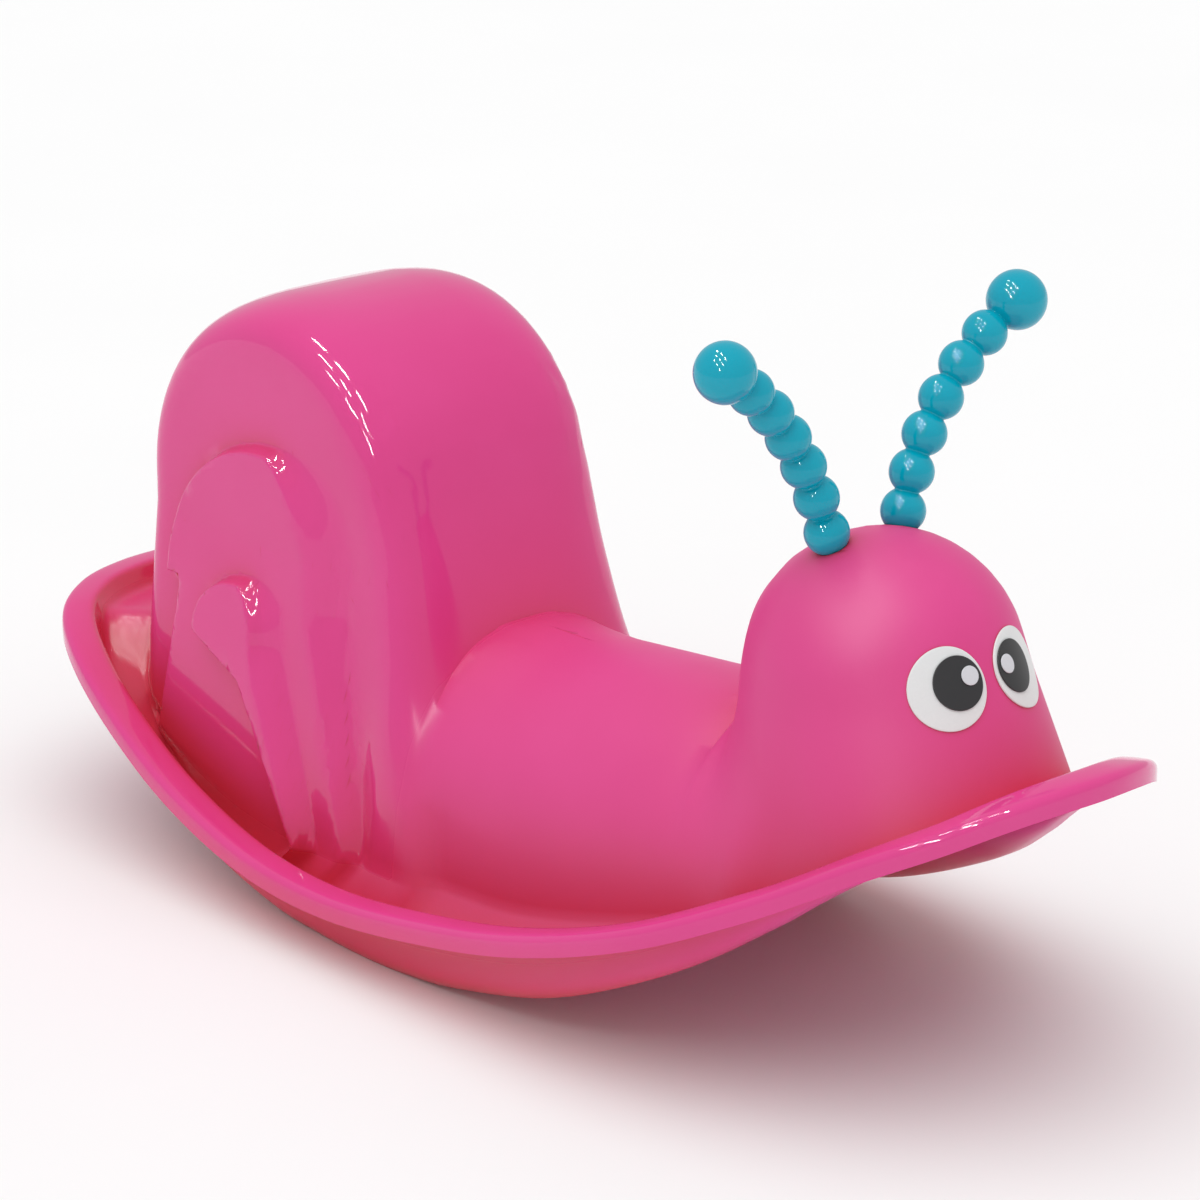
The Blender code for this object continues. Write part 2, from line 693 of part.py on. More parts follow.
def build_antennae():
    """Two hollow bead strings, one the mirror copy of the other."""
    teal = teal_polyethylene()
    verts, faces = skin(antenna_rings(14))
    left = new_object("antenna_left", verts, faces, teal)
    right = new_object("antenna_right", *mirrored(verts, faces), teal)
    for antenna, side in ((left, 1), (right, -1)):
        smooth(antenna, 50)
        antenna.location = (ANTENNA_FOOT[0], ANTENNA_FOOT[1] * side, ANTENNA_FOOT[2])


def build_washer(name):
    """A flat washer round the screw's hole."""
    steel = finish("zinc_plate", (0.62, 0.63, 0.65), 0.35, 1.0)
    hole = SCREW_RADIUS + GAP
    rows = [(0, hole), (0, WASHER_RADIUS), (WASHER_THICKNESS, WASHER_RADIUS), (WASHER_THICKNESS, hole)]
    rings = [ring((0, 0, height), (0, 0, 1), radius, 18) for height, radius in rows]
    washer = new_object(name, *skin(rings, closed=True), steel)
    smooth(washer)
    return washer


def build_screw(name):
    """A pan-head screw, head down, point up into the spigot."""
    steel = finish("zinc_screw", (0.62, 0.63, 0.65), 0.3, 1.0)
    rows = [
        (0, SCREW_HEAD_RADIUS * 0.55),
        (SCREW_HEAD_HEIGHT * 0.35, SCREW_HEAD_RADIUS * 0.9),
        (SCREW_HEAD_HEIGHT * 0.7, SCREW_HEAD_RADIUS),
        (SCREW_HEAD_HEIGHT, SCREW_HEAD_RADIUS),
        (SCREW_HEAD_HEIGHT, SCREW_RADIUS),
        (SCREW_HEAD_HEIGHT + SCREW_LENGTH - SCREW_TIP, SCREW_RADIUS),
        (SCREW_HEAD_HEIGHT + SCREW_LENGTH, SCREW_RADIUS * 0.3),
    ]
    rings = [ring((0, 0, height), (0, 0, 1), radius, 12) for height, radius in rows]
    screw = new_object(name, *skin(rings), steel)
    smooth(screw)
    return screw


def on_head(points):
    """Move points along the eye's direction onto the head."""
    normal = np.array(EYE_NORMAL)
    low = np.full(len(points), -0.02)
    high = np.full(len(points), 0.02)
    for _ in range(30):
        middle = (low + high) / 2
        tried = points + normal * middle[:, None]
        outside = np.abs(tried[:, 1]) > half_width(tried[:, 0], tried[:, 2])
        high = np.where(outside, middle, high)
        low = np.where(outside, low, middle)
    return points + normal * low[:, None]


def eye_disc(radius, thickness, place, lift, segments):
    """A thin disc bent to the head, its back a set distance off the head."""
    normal = np.array(EYE_NORMAL)
    across = np.cross(normal, (0, 0, 1))
    across /= np.linalg.norm(across)
    up = np.cross(across, normal)
    centre = np.array(EYE_CENTRE) + across * place[0] + up * place[1]
    edge = 0.3 * thickness
    rows = [(0.1, 0), (0.6, 0), (1, 0), (1, thickness - edge), (1 - edge / radius, thickness)]
    rows += [(0.6, thickness), (0.1, thickness)]
    turns = np.arange(segments) * 2 * math.pi / segments
    circle = np.cos(turns)[:, None] * across - np.sin(turns)[:, None] * up
    rings = []
    for share, height in rows:
        rings.append(on_head(centre + circle * radius * share) + normal * (lift + height))
    return skin(rings)


def build_eyes():
    """White, pupil and glint on each side, stacked with a gap between the layers."""
    colours = {"white": (0.75, 0.78, 0.78), "pupil": (0.03, 0.03, 0.03), "glint": (0.66, 0.68, 0.70)}
    lift = GAP
    for layer, radius, thickness, place, segments in EYE_LAYERS:
        vinyl = finish("eye_" + layer, colours[layer], 0.3)
        verts, faces = eye_disc(radius, thickness, place, lift, segments)
        lift += thickness + GAP
        left = new_object(f"eye_{layer}_left", verts, faces, vinyl)
        right = new_object(f"eye_{layer}_right", *mirrored(verts, faces), vinyl)
        smooth(left)
        smooth(right)


def main():
    for obj in list(bpy.data.objects):
        bpy.data.objects.remove(obj)
    build_shell()
    build_antennae()
    washer_drop = SEAT_DROP + SPIGOT_LENGTH + BOSS_EXTRA + GAP + WASHER_THICKNESS
    screw_drop = washer_drop + GAP + SCREW_HEAD_HEIGHT
    for name, side in (("left", 1), ("right", -1)):
        stand_on_foot(build_washer("antenna_washer_" + name), washer_drop, side)
        stand_on_foot(build_screw("antenna_screw_" + name), screw_drop, side)
    build_eyes()


main()
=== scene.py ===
# %% [markdown]
# # A snail-shaped rocking toy
# One thin plastic shell makes the whole toy: rim, rocking troughs, seat, backrest and head. Two strings
# of beads are the handles, and thin layered discs are the eyes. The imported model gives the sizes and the
# places, and these cells put a finer surface and a finish on each piece.

import math

import bmesh
import bpy
import numpy as np
from mathutils import Matrix, Vector


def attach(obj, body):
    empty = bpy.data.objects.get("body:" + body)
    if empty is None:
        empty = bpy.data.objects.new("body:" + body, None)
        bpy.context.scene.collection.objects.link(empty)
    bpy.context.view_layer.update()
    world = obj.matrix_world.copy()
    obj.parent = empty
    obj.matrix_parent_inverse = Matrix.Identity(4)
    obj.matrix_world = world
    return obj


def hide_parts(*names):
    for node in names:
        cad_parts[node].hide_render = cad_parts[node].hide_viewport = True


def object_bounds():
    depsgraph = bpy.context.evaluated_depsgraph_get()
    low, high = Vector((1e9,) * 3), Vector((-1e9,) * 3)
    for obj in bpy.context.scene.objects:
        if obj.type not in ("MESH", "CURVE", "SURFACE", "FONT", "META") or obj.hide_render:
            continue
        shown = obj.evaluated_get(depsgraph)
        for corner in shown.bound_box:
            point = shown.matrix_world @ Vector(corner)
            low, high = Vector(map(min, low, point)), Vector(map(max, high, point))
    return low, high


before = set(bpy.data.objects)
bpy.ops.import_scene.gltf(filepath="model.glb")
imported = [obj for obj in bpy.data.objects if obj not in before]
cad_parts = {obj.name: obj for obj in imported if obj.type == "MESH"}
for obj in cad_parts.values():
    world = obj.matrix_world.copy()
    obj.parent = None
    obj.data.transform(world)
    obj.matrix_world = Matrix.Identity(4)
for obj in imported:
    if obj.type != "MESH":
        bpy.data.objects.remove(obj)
cad_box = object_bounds()
print("packed box", [list(corner) for corner in cad_box])

# %% [markdown]
# ## Colours, patterns and nodes
# Plastic colours are easiest to pick as the hex value a screen shows, but shaders work in linear light,
# so one function converts them. Patterns are easiest to judge in millimetres, so another turns the size
# of a patch into a texture's scale. One more adds a node with its settings and links, which keeps each
# finish readable as a short recipe.

# %% Helpers for colours, patterns and nodes


def linear(hex_colour):
    """Turn a screen colour such as "#E5569C" into linear RGBA."""
    parts = [int(hex_colour[i : i + 2], 16) / 255 for i in (1, 3, 5)]
    return (*[p / 12.92 if p <= 0.04045 else ((p + 0.055) / 1.055) ** 2.4 for p in parts], 1.0)


def scale_for(millimetres):
    """Texture scale for patches of this size: how many fit in a metre, to the nearest whole one."""
    return round(1000 / millimetres)


def patches(place, millimetres, detail):
    """Sockets of a noise texture whose patches have this size."""
    return {"Vector": place, "Scale": scale_for(millimetres), "Detail": detail}


def between(value, ends):
    """Sockets of a Map Range node that spreads a value from 0 to 1 between two ends."""
    return {"Value": value, "To Min": ends[0], "To Max": ends[1]}


def fill_sockets(tree, node, sockets):
    """Give each socket a value or a link; a node that is given stands for its first output."""
    for socket, value in sockets.items():
        if isinstance(value, bpy.types.Node):
            value = value.outputs[0]
        if isinstance(value, bpy.types.NodeSocket):
            tree.links.new(value, node.inputs[socket])
        else:
            node.inputs[socket].default_value = value


def add_node(tree, kind, sockets=None, **options):
    """Add a node, set its options and fill its sockets."""
    node = tree.nodes.new(kind)
    for name, value in options.items():
        setattr(node, name, value)
    fill_sockets(tree, node, sockets or {})
    return node


def new_material(name):
    """A new material, its node tree and its Principled shader."""
    material = bpy.data.materials.new(name)
    material.use_nodes = True
    return material, material.node_tree, material.node_tree.nodes["Principled BSDF"]


# %% [markdown]
# ## Camera
# The photograph looks at the toy from its right, a little from the front and above, through a long lens,
# so the camera stands 2.7 m away with a 144 mm lens. It is placed by two angles round the toy, which are
# easier to read and change than a matrix.

# %% Camera at the photograph's angle
VIEW_AZIMUTH = math.radians(48.22)
VIEW_ELEVATION = math.radians(18.61)
VIEW_DISTANCE = 2.736
VIEW_TARGET = Vector((0.0135, 0.0, 0.1951))
LENS_MM = 144
FILM_WIDTH_MM = 36


def place_camera():
    """Stand the camera at its distance from the target and turn it there."""
    level = math.cos(VIEW_ELEVATION)
    ahead = math.sin(VIEW_AZIMUTH) * level
    aside = -math.cos(VIEW_AZIMUTH) * level
    back = Vector((ahead, aside, math.sin(VIEW_ELEVATION)))
    data = bpy.data.cameras.new("photo_camera")
    data.lens = LENS_MM
    data.sensor_width = FILM_WIDTH_MM
    camera = bpy.data.objects.new("photo_camera", data)
    bpy.context.scene.collection.objects.link(camera)
    camera.location = VIEW_TARGET + back * VIEW_DISTANCE
    camera.rotation_euler = back.to_track_quat("Z", "Y").to_euler()
    bpy.context.scene.camera = camera
    return camera


CAMERA = place_camera()
print("camera at", [round(value, 3) for value in CAMERA.location])

# %% [markdown]
# ## Pink polypropylene
# The shell is injection-moulded polypropylene, coloured right through. Its face copies the steel mould:
# polished on the backrest and rim, about half as much in the troughs, and finely matt on the seat and
# head so that a child doesn't slide. An attribute on the mesh tells matt from polished. The hollows carry
# painted shade: an Ambient Occlusion node mixes a redder, darker pink in where a point sees little of its
# surroundings, standing in for light that bounces between the walls of a trough and gets redder each time.
# The matt grain of such a mould is finer than a render shows, so it is drawn at 0.7 mm.

# %% Pink polypropylene
PINK_DEEP = "#DE3E8A"
PINK_LIGHT = "#E24490"
# Painted shade: the redder, darker pink that is mixed into the hollows
PINK_PAINTED_SHADE = "#DA3A52"
PINK_IOR = 1.49
FLOW_MM = 111
FLOW_BAND = (0.3, 0.7)

# How far round itself a point looks for walls, and the open shares that count as hollow and as open, for the
# painted shade
HOLLOW_REACH = 0.11
HOLLOW_BAND = (0.3, 0.95)
HOLLOW_SAMPLES = 8

# Roughness where the mould is matt and where it is polished, and what wiping adds to it
PINK_ROUGHNESS = (0.48, 0.05)
WIPE_MM = 25
WIPE_ROUGHNESS = (-0.01, 0.03)

# Grain, from matt to polished, and the long waves that a moulding gets as it cools; heights in metres
GRAIN_MM = 0.7143
GRAIN_HEIGHT = 0.0003
GRAIN_STRENGTH = (0.10, 0.01)
RIPPLE_MM = 22.2
RIPPLE_HEIGHT = 0.0006
RIPPLE_STRENGTH = 0.06


def pink_colour(tree, place):
    """Pink with a faint flow marking, and painted shade that makes it redder and darker in the hollows."""
    flow = add_node(tree, "ShaderNodeTexNoise", patches(place, FLOW_MM, 3))
    tint = add_node(tree, "ShaderNodeValToRGB", {"Fac": flow})
    for stop, position, colour in zip(tint.color_ramp.elements, FLOW_BAND, (PINK_DEEP, PINK_LIGHT)):
        stop.position = position
        stop.color = linear(colour)
    # Painted shade: ambient occlusion finds the hollows, and the redder, darker pink is mixed in there
    reach = {"Distance": HOLLOW_REACH}
    hollow = add_node(tree, "ShaderNodeAmbientOcclusion", reach, samples=HOLLOW_SAMPLES).outputs["AO"]
    band = {"From Min": HOLLOW_BAND[0], "From Max": HOLLOW_BAND[1]}
    openness = add_node(tree, "ShaderNodeMapRange", {"Value": hollow, **band})
    mix = add_node(tree, "ShaderNodeMix", {0: openness, 6: linear(PINK_PAINTED_SHADE), 7: tint}, data_type="RGBA")
    return mix.outputs[2]


def pink_roughness(tree, place, gloss):
    """Matt or polished as the mould is, with faint wiped patches."""
    polish = add_node(tree, "ShaderNodeMapRange", between(gloss, PINK_ROUGHNESS))
    smear = add_node(tree, "ShaderNodeTexNoise", patches(place, WIPE_MM, 5))
    wipe = add_node(tree, "ShaderNodeMapRange", between(smear, WIPE_ROUGHNESS))
    return add_node(tree, "ShaderNodeMath", {0: polish, 1: wipe}, operation="ADD")


def pink_relief(tree, place, gloss):
    """Fine grain where the mould is matt, on top of long shallow waves."""
    grain = add_node(tree, "ShaderNodeTexNoise", patches(place, GRAIN_MM, 2))
    matt = add_node(tree, "ShaderNodeMapRange", between(gloss, GRAIN_STRENGTH))
    heights = {"Height": grain, "Strength": matt, "Distance": GRAIN_HEIGHT}
    fine = add_node(tree, "ShaderNodeBump", heights)
    ripple = add_node(tree, "ShaderNodeTexNoise", patches(place, RIPPLE_MM, 1))
    heights = {"Height": ripple, "Strength": RIPPLE_STRENGTH, "Distance": RIPPLE_HEIGHT, "Normal": fine}
    return add_node(tree, "ShaderNodeBump", heights)


def pink_polypropylene():
    """The finish of the shell."""
    material, tree, shader = new_material("pink_polypropylene")
    place = add_node(tree, "ShaderNodeTexCoord").outputs["Object"]
    gloss = add_node(tree, "ShaderNodeAttribute", attribute_name="gloss").outputs["Fac"]
    finish = {
        "Base Color": pink_colour(tree, place),
        "Roughness": pink_roughness(tree, place, gloss),
        "Normal": pink_relief(tree, place, gloss),
        "IOR": PINK_IOR,
    }
    fill_sockets(tree, shader, finish)
    return material


PINK = pink_polypropylene()
print("finish:", PINK.name)

# %% [markdown]
# ## The rim
# From above, the rim is an oval that is narrow at the nose and the tail, and from the side it dips in the
# middle. A rim drawn straight between a few measured points would look bent at each one, so the points
# are joined by a Catmull-Rom curve, which passes through all of them and turns smoothly. The section of
# its rolled lip is the same all the way round.

# %% The rim
# Section of the lip from its lower edge: distance inward, height
RIM_SECTION = [
    (0.0000, 0.0000),
    (0.0000, 0.0075),
    (0.0012, 0.0106),
    (0.0045, 0.0124),
    (0.0150, 0.0128),
    (0.0190, 0.0117),
    (0.0210, 0.0085),
]

# Trough's wall below the lip: distance inward, share of the height between floor and lip
WALL_SECTION = [(0.0235, 0.50), (0.0255, 0.15), (0.0290, 0.0)]

# Rim outline from the nose to the tail: distance ahead, half-width, height of the lip's lower edge
RIM_OUTLINE = [
    (0.4015, 0.000, 0.1835),
    (0.3980, 0.026, 0.1820),
    (0.3860, 0.055, 0.1755),
    (0.3640, 0.083, 0.1625),
    (0.3295, 0.109, 0.1441),
    (0.2775, 0.135, 0.1149),
    (0.2135, 0.159, 0.0856),
    (0.1335, 0.168, 0.0592),
    (0.0535, 0.168, 0.0414),
    (-0.0365, 0.167, 0.0296),
    (-0.1165, 0.164, 0.0327),
    (-0.1965, 0.157, 0.0505),
    (-0.2665, 0.146, 0.0756),
    (-0.3215, 0.131, 0.0971),
    (-0.3615, 0.109, 0.1091),
    (-0.3865, 0.077, 0.1141),
    (-0.3985, 0.040, 0.1156),
    (-0.4015, 0.000, 0.1156),
]
RIM_CURVE_POINTS = 600


def smooth_through(rows, positions):
    """Catmull-Rom curve through the rows, at the given row positions."""
    rows = np.asarray(rows, float)
    ahead = 2 * rows[0] - rows[1]
    behind = 2 * rows[-1] - rows[-2]
    rows = np.vstack([ahead, rows, behind])
    positions = np.clip(np.asarray(positions, float), 0, len(rows) - 3 - 1e-9)
    step = positions.astype(int)
    t = (positions - step)[:, None]
    a, b, c, d = (rows[step + k] for k in range(4))
    return 0.5 * (2 * b + (c - a) * t + (2 * a - 5 * b + 4 * c - d) * t**2 + (3 * b - a - 3 * c + d) * t**3)


def rim_at(angles):
    """Rim points (ahead, half-width, height) for station angles, 0 at the nose and pi at the tail."""
    over_nose, over_tail = [(x, -y, z) for x, y, z in (RIM_OUTLINE[1], RIM_OUTLINE[-2])]
    rows = [over_nose, *RIM_OUTLINE, over_tail]
    dense = smooth_through(rows, np.linspace(1, len(rows) - 2, RIM_CURVE_POINTS))
    middle = (dense[0, 0] + dense[-1, 0]) / 2
    reach = (dense[0, 0] - dense[-1, 0]) / 2
    dense_angle = np.arccos(np.clip((dense[:, 0] - middle) / reach, -1, 1))
    return np.stack([np.interp(angles, dense_angle, dense[:, k]) for k in range(3)], 1)


print("rim length", RIM_OUTLINE[0][0] - RIM_OUTLINE[-1][0])

# %% [markdown]
# ## Side view
# Along the middle, the toy is a chain of simple lines: a leaning face, a round head, a seat that rises a
# little to the front, a leaning back and a round top. Ribs meet this line at angles counted from the nose,
# and stand closer together where the form turns quickly, which puts the points where they show.

# %% Middle line and ribs
# Head: its round centre, then how its face leans and where the chin is
HEAD_CENTRE = (0.2415, 0.2140)
HEAD_RADIUS = 0.0768
FACE_TILT = math.radians(25.5)
CHIN_HEIGHT = 0.1780

# Seat: height and rise of its middle line, and the place where it meets the backrest
SEAT_HEIGHT = 0.1685
SEAT_RISE = 0.085
LUMBAR_X = -0.0465

# Backrest: a tall arch whose front leans, and the shelf behind it
ARCH_CENTRE = (-0.1920, 0.2193)
ARCH_RADIUS = 0.1225
BACK_TILT = math.radians(15.5)
SHELF_HEIGHT = 0.1136
SHELF_STEP = 0.001

# Rib angles in degrees, 0 at the nose: where the middle line reaches each part of the toy
BROW = 28
HEAD_BACK = 56
NAPE = 63
LUMBAR = 98
SHOULDER = 112
ARCH_BACK = 148
TAIL = 180

# Points of the middle line round the head, along the seat and round the backrest
HEAD_STEPS = 12
SEAT_STEPS = 4
ARCH_STEPS = 16

# Ribs of the fine shell: from this angle, to that angle, how many of them times the detail
DETAIL = 3
STATIONS = [
    (0, BROW, 6),
    (BROW, HEAD_BACK, 8),
    (HEAD_BACK, NAPE, 2),
    (NAPE, LUMBAR, 7),
    (LUMBAR, SHOULDER, 4),
    (SHOULDER, ARCH_BACK, 13),
    (ARCH_BACK, TAIL, 11),
]


def on_circle(centre, radius, turn):
    """Point of a circle in side view."""
    return centre[0] + radius * math.cos(turn), centre[1] + radius * math.sin(turn)


def seat_height(x):
    """Height of the seat's middle line."""
    return SEAT_HEIGHT + SEAT_RISE * np.maximum(x, 0)


def arc_rows(centre, radius, tilt, first, last, steps):
    """Middle-line rows round a top, from its tilted front to its back, over a range of rib angles."""
    rows = []
    for turn in np.linspace(tilt, math.pi, steps + 1)[1:]:
        angle = first + (last - first) * (turn - tilt) / (math.pi - tilt)
        rows.append((angle, *on_circle(centre, radius, turn)))
    return rows


def top_rows():
    """The middle line of the toy in side view, from the face to the tail: rib angle, ahead, height."""
    brow = on_circle(HEAD_CENTRE, HEAD_RADIUS, FACE_TILT)
    chin = (brow[0] + (brow[1] - CHIN_HEIGHT) * math.tan(FACE_TILT), CHIN_HEIGHT)
    nape_x = HEAD_CENTRE[0] - HEAD_RADIUS
    shoulder = on_circle(ARCH_CENTRE, ARCH_RADIUS, BACK_TILT)
    lumbar_z = float(seat_height(LUMBAR_X))
    lumbar_x = shoulder[0] + (shoulder[1] - lumbar_z) * math.tan(BACK_TILT)
    rows = [(0, *chin), (BROW, *brow)]
    rows += arc_rows(HEAD_CENTRE, HEAD_RADIUS, FACE_TILT, BROW, HEAD_BACK, HEAD_STEPS)
    for share in np.linspace(0, 1, SEAT_STEPS, endpoint=False):
        x = nape_x + (lumbar_x - nape_x) * share
        rows.append((NAPE + (LUMBAR - NAPE) * share, x, float(seat_height(x))))
    rows += [(LUMBAR, lumbar_x, lumbar_z), (SHOULDER, *shoulder)]
    rows += arc_rows(ARCH_CENTRE, ARCH_RADIUS, BACK_TILT, SHOULDER, ARCH_BACK, ARCH_STEPS)
    rows.append((TAIL, ARCH_CENTRE[0] - ARCH_RADIUS, SHELF_HEIGHT + SHELF_STEP))
    return np.array(rows)


def station_angles():
    """Angles of the ribs round one side, closer together where the form turns quickly."""
    angles = []
    for first, last, count in STATIONS:
        angles += list(np.linspace(first, last, DETAIL * count, endpoint=False))
    return np.radians([*angles, TAIL])


def top_at(angles):
    """Points of the middle line (ahead, height) for rib angles."""
    rows = top_rows()
    return np.stack([np.interp(np.degrees(angles), rows[:, 0], rows[:, k]) for k in (1, 2)], 1)


print("ribs on one side:", len(station_angles()))

# %% [markdown]
# ## Nested arches
# The backrest's side carries two smaller arches in relief, like the coils of a shell. Each is one step of
# relief with a crisp lip above and behind and a soft slope in front, and its lower rear corner is cut off.
# A rule gives the share of the step at every point, so the arches can be sampled as finely as the mesh is.

# %% Nested arches
# Each arch: middle, height where the curve springs, crown, reach astern, reach ahead and how much the
# front edge leans out below the spring
ARCH_STEP = 0.011
SECOND_ARCH = (-0.1780, 0.1720, 0.2600, 0.0940, 0.0730, 0.23)
THIRD_ARCH = (-0.1870, 0.1450, 0.1810, 0.0440, 0.0370, 0.40)

# Width of the lip, and of the slope in front, which grows with the height up to the spring
LIP_WIDTH = 0.0050
SLOPE_WIDTH = 0.0100
SLOPE_GROWTH = 0.150
SLOPE_FROM = 0.05
SLOPE_SPREAD = 0.6

# Cuts of the rear corners: a height, or a line from one point of the side view to another
NOTCH_HEIGHT = 0.1640
REAR_CORNER = ((-0.2695, 0.0640), (-0.2570, 0.1580))
COIL_END_UPPER = ((-0.2306, 0.1410), (-0.1820, 0.1200))
COIL_END_LOWER = ((-0.1820, 0.1200), (-0.1270, 0.0410))


def soft_step(value):
    """0 below 0, 1 above 1, and a smooth rise between."""
    value = np.clip(value, 0, 1)
    return value * value * (3 - 2 * value)


def arch_radius(x, z, arch):
    """How far out a point of the side lies in a nested arch: 0 on its middle line, 1 on its edge."""
    middle, spring, crown, rear, front, lean = arch
    over = np.maximum(z - spring, 0) / (crown - spring)
    ahead = np.maximum(x - middle, 0) / (front + lean * np.maximum(spring - z, 0))
    astern = np.maximum(middle - x, 0) / rear
    return np.where(x > middle, np.cbrt(ahead**3 + over**3), np.hypot(astern, over))


def arch_inside(x, z, arch):
    """Share of a nested arch's step at a point: a crisp lip above and behind, a soft slope in front."""
    middle, spring, crown, rear, front, lean = arch
    crisp = LIP_WIDTH / rear
    slope = SLOPE_WIDTH + SLOPE_GROWTH * np.clip(z, SLOPE_FROM, spring)
    soft = slope / (front + lean * np.maximum(spring - z, 0))
    edge = crisp + (soft - crisp) * soft_step((x - middle) / (SLOPE_SPREAD * front))
    return soft_step((1 - arch_radius(x, z, arch)) / edge)


def above_line(x, z, start, end):
    """Signed distance from a line in side view, positive above it when it runs forward."""
    run = (end[0] - start[0], end[1] - start[1])
    return ((z - start[1]) * run[0] - (x - start[0]) * run[1]) / math.hypot(*run)


def arch_steps(x, z):
    """The two nested arches together, in steps of relief, with their lower rear corners cut away."""
    second = np.maximum(z - NOTCH_HEIGHT, -above_line(x, z, *REAR_CORNER))
    third = np.maximum(above_line(x, z, *COIL_END_UPPER), above_line(x, z, *COIL_END_LOWER))
    second = soft_step(0.5 + second / LIP_WIDTH) * arch_inside(x, z, SECOND_ARCH)
    return second + soft_step(0.5 + third / LIP_WIDTH) * arch_inside(x, z, THIRD_ARCH)


print("steps of relief on the inner arch:", round(float(arch_steps(*THIRD_ARCH[:2])), 2))

# %% [markdown]
# ## Width of the body
# The half-width comes from a rule instead of from sculpting. It is the widest of three simple forms: a
# domed head, a half-round seat and a tall arch. Each form knows how far inside its outline a point lies,
# and rounds its own edge by that distance. A high power mean joins them: it follows the widest one and
# leaves a small soft fillet where they meet.

# %% Width of the body
# Half-widths, how much each form widens per metre below a height, and where the seat fades out
HEAD_FLARE = 0.10
SEAT_HALF = 0.090
SEAT_FLARE = 0.06
SEAT_FLARE_TOP = 0.14
SEAT_BACK = -0.125
SEAT_BACK_FADE = 0.06
SEAT_FRONT = 0.315
SEAT_FRONT_FADE = 0.10
SHELL_HALF = 0.083
SHELL_FLARE = 0.11
SHELL_FLARE_TOP = 0.20

# The backrest's edge is rounded over a depth, nearly square; the power of the mean that joins the forms
SHELL_DEPTH = 0.032
SHELL_SQUARENESS = 3.2
FORM_BLEND = 10


def inside_arch(x, z, centre, radius, tilt):
    """Distance inside a shape with a round top, an upright back and a front that leans out by the tilt."""
    px = x - centre[0]
    pz = z - centre[1]
    front = radius - (px * math.cos(tilt) + pz * math.sin(tilt))
    low = np.minimum(front, radius + px)
    high = radius - np.hypot(px, pz)
    below_front = pz * math.cos(tilt) < px * math.sin(tilt)
    return np.where((pz < 0) | below_front, np.where((pz > 0) & (px < 0), high, low), high)


def rounded(depth, inside, square):
    """Share of the full half-width at a distance inside the outline: 0 on it, 1 beyond the depth."""
    left = 1 - np.clip(inside / depth, 0, 1)
    return (1 - left**square) ** (1 / square)


def half_width(x, z):
    """Half-width of the body at a point of the side view: the widest of head, seat and shell."""
    head = HEAD_RADIUS + HEAD_FLARE * np.maximum(HEAD_CENTRE[1] - z, 0)
    head = head * rounded(HEAD_RADIUS, inside_arch(x, z, HEAD_CENTRE, HEAD_RADIUS, FACE_TILT), 2)
    seat = SEAT_HALF + SEAT_FLARE * np.maximum(SEAT_FLARE_TOP - z, 0)
    seat = seat * rounded(SEAT_HALF, seat_height(x) - z, 2)
    seat = seat * soft_step((x - SEAT_BACK) / SEAT_BACK_FADE) * soft_step((SEAT_FRONT - x) / SEAT_FRONT_FADE)
    inside = inside_arch(x, z, ARCH_CENTRE, ARCH_RADIUS, BACK_TILT)
    shell = SHELL_HALF + SHELL_FLARE * np.maximum(SHELL_FLARE_TOP - z, 0) + ARCH_STEP * arch_steps(x, z)
    shell = shell * rounded(SHELL_DEPTH, inside, SHELL_SQUARENESS)
    return (head**FORM_BLEND + seat**FORM_BLEND + shell**FORM_BLEND) ** (1 / FORM_BLEND)


print("half-width of the head:", round(float(half_width(*HEAD_CENTRE)), 4))

# %% [markdown]
# ## The trough
# The floor of the trough on each side follows the rocking arc, and its underside is what the toy rocks on.
# A shelf closes the trough behind the backrest. The body's foot stands on the inner side of the floor, at
# a place that each rib looks up by its angle.

# %% The trough
# Trough: distance ahead, floor height, height where the body's side begins
TROUGH = [
    (0.390, 0.1830, 0.1840),
    (0.358, 0.1650, 0.1680),
    (0.333, 0.1510, 0.1550),
    (0.313, 0.1390, 0.1450),
    (0.288, 0.1205, 0.1300),
    (0.263, 0.1010, 0.1140),
    (0.213, 0.0675, 0.0870),
    (0.133, 0.0310, 0.0600),
    (0.053, 0.0105, 0.0410),
    (0.003, 0.0040, 0.0370),
    (-0.038, 0.0024, 0.0350),
    (-0.078, 0.0040, 0.0350),
    (-0.120, 0.0072, 0.0360),
    (-0.187, 0.0215, 0.0450),
    (-0.247, 0.0450, 0.0620),
    (-0.287, 0.0640, 0.0780),
    (-0.303, 0.0730, 0.0900),
    (-0.316, 0.0800, 0.1130),
    (-0.377, 0.1120, 0.1200),
]

# Where each rib reaches the foot of the body: rib angle, distance ahead
BODY_FOOT = [
    (0, 0.3499),
    (20, 0.3299),
    (40, 0.2722),
    (NAPE, 0.1685),
    (80, 0.0754),
    (LUMBAR, -0.0285),
    (SHOULDER, -0.0980),
    (128, -0.1480),
    (ARCH_BACK, -0.2000),
    (160, -0.2400),
    (170, -0.2790),
    (TAIL, -0.3145),
]

# Edge of the shelf behind the backrest, which way it faces from above, and how far its step spreads
SHELF_EDGE = (-0.322, 0.068)
SHELF_NORMAL = (-0.56, 0.83)
SHELF_SLOPE = 0.014
FLOOR_CURVE_POINTS = 300


def trough_rows():
    """Smooth curve through the trough's rows, from the tail to the nose."""
    return smooth_through(TROUGH, np.linspace(0, len(TROUGH) - 1, FLOOR_CURVE_POINTS))[::-1]


def floor_height(x, y):
    """Height of the trough's floor, or of the shelf behind the backrest."""
    rows = TROUGH_CURVE
    trough = np.interp(x, rows[:, 0], rows[:, 1])
    behind = SHELF_NORMAL[0] * (x - SHELF_EDGE[0]) + SHELF_NORMAL[1] * (SHELF_EDGE[1] - y)
    shelf = np.maximum(SHELF_HEIGHT, trough)
    return trough + (shelf - trough) * soft_step(0.5 + behind / SHELF_SLOPE)


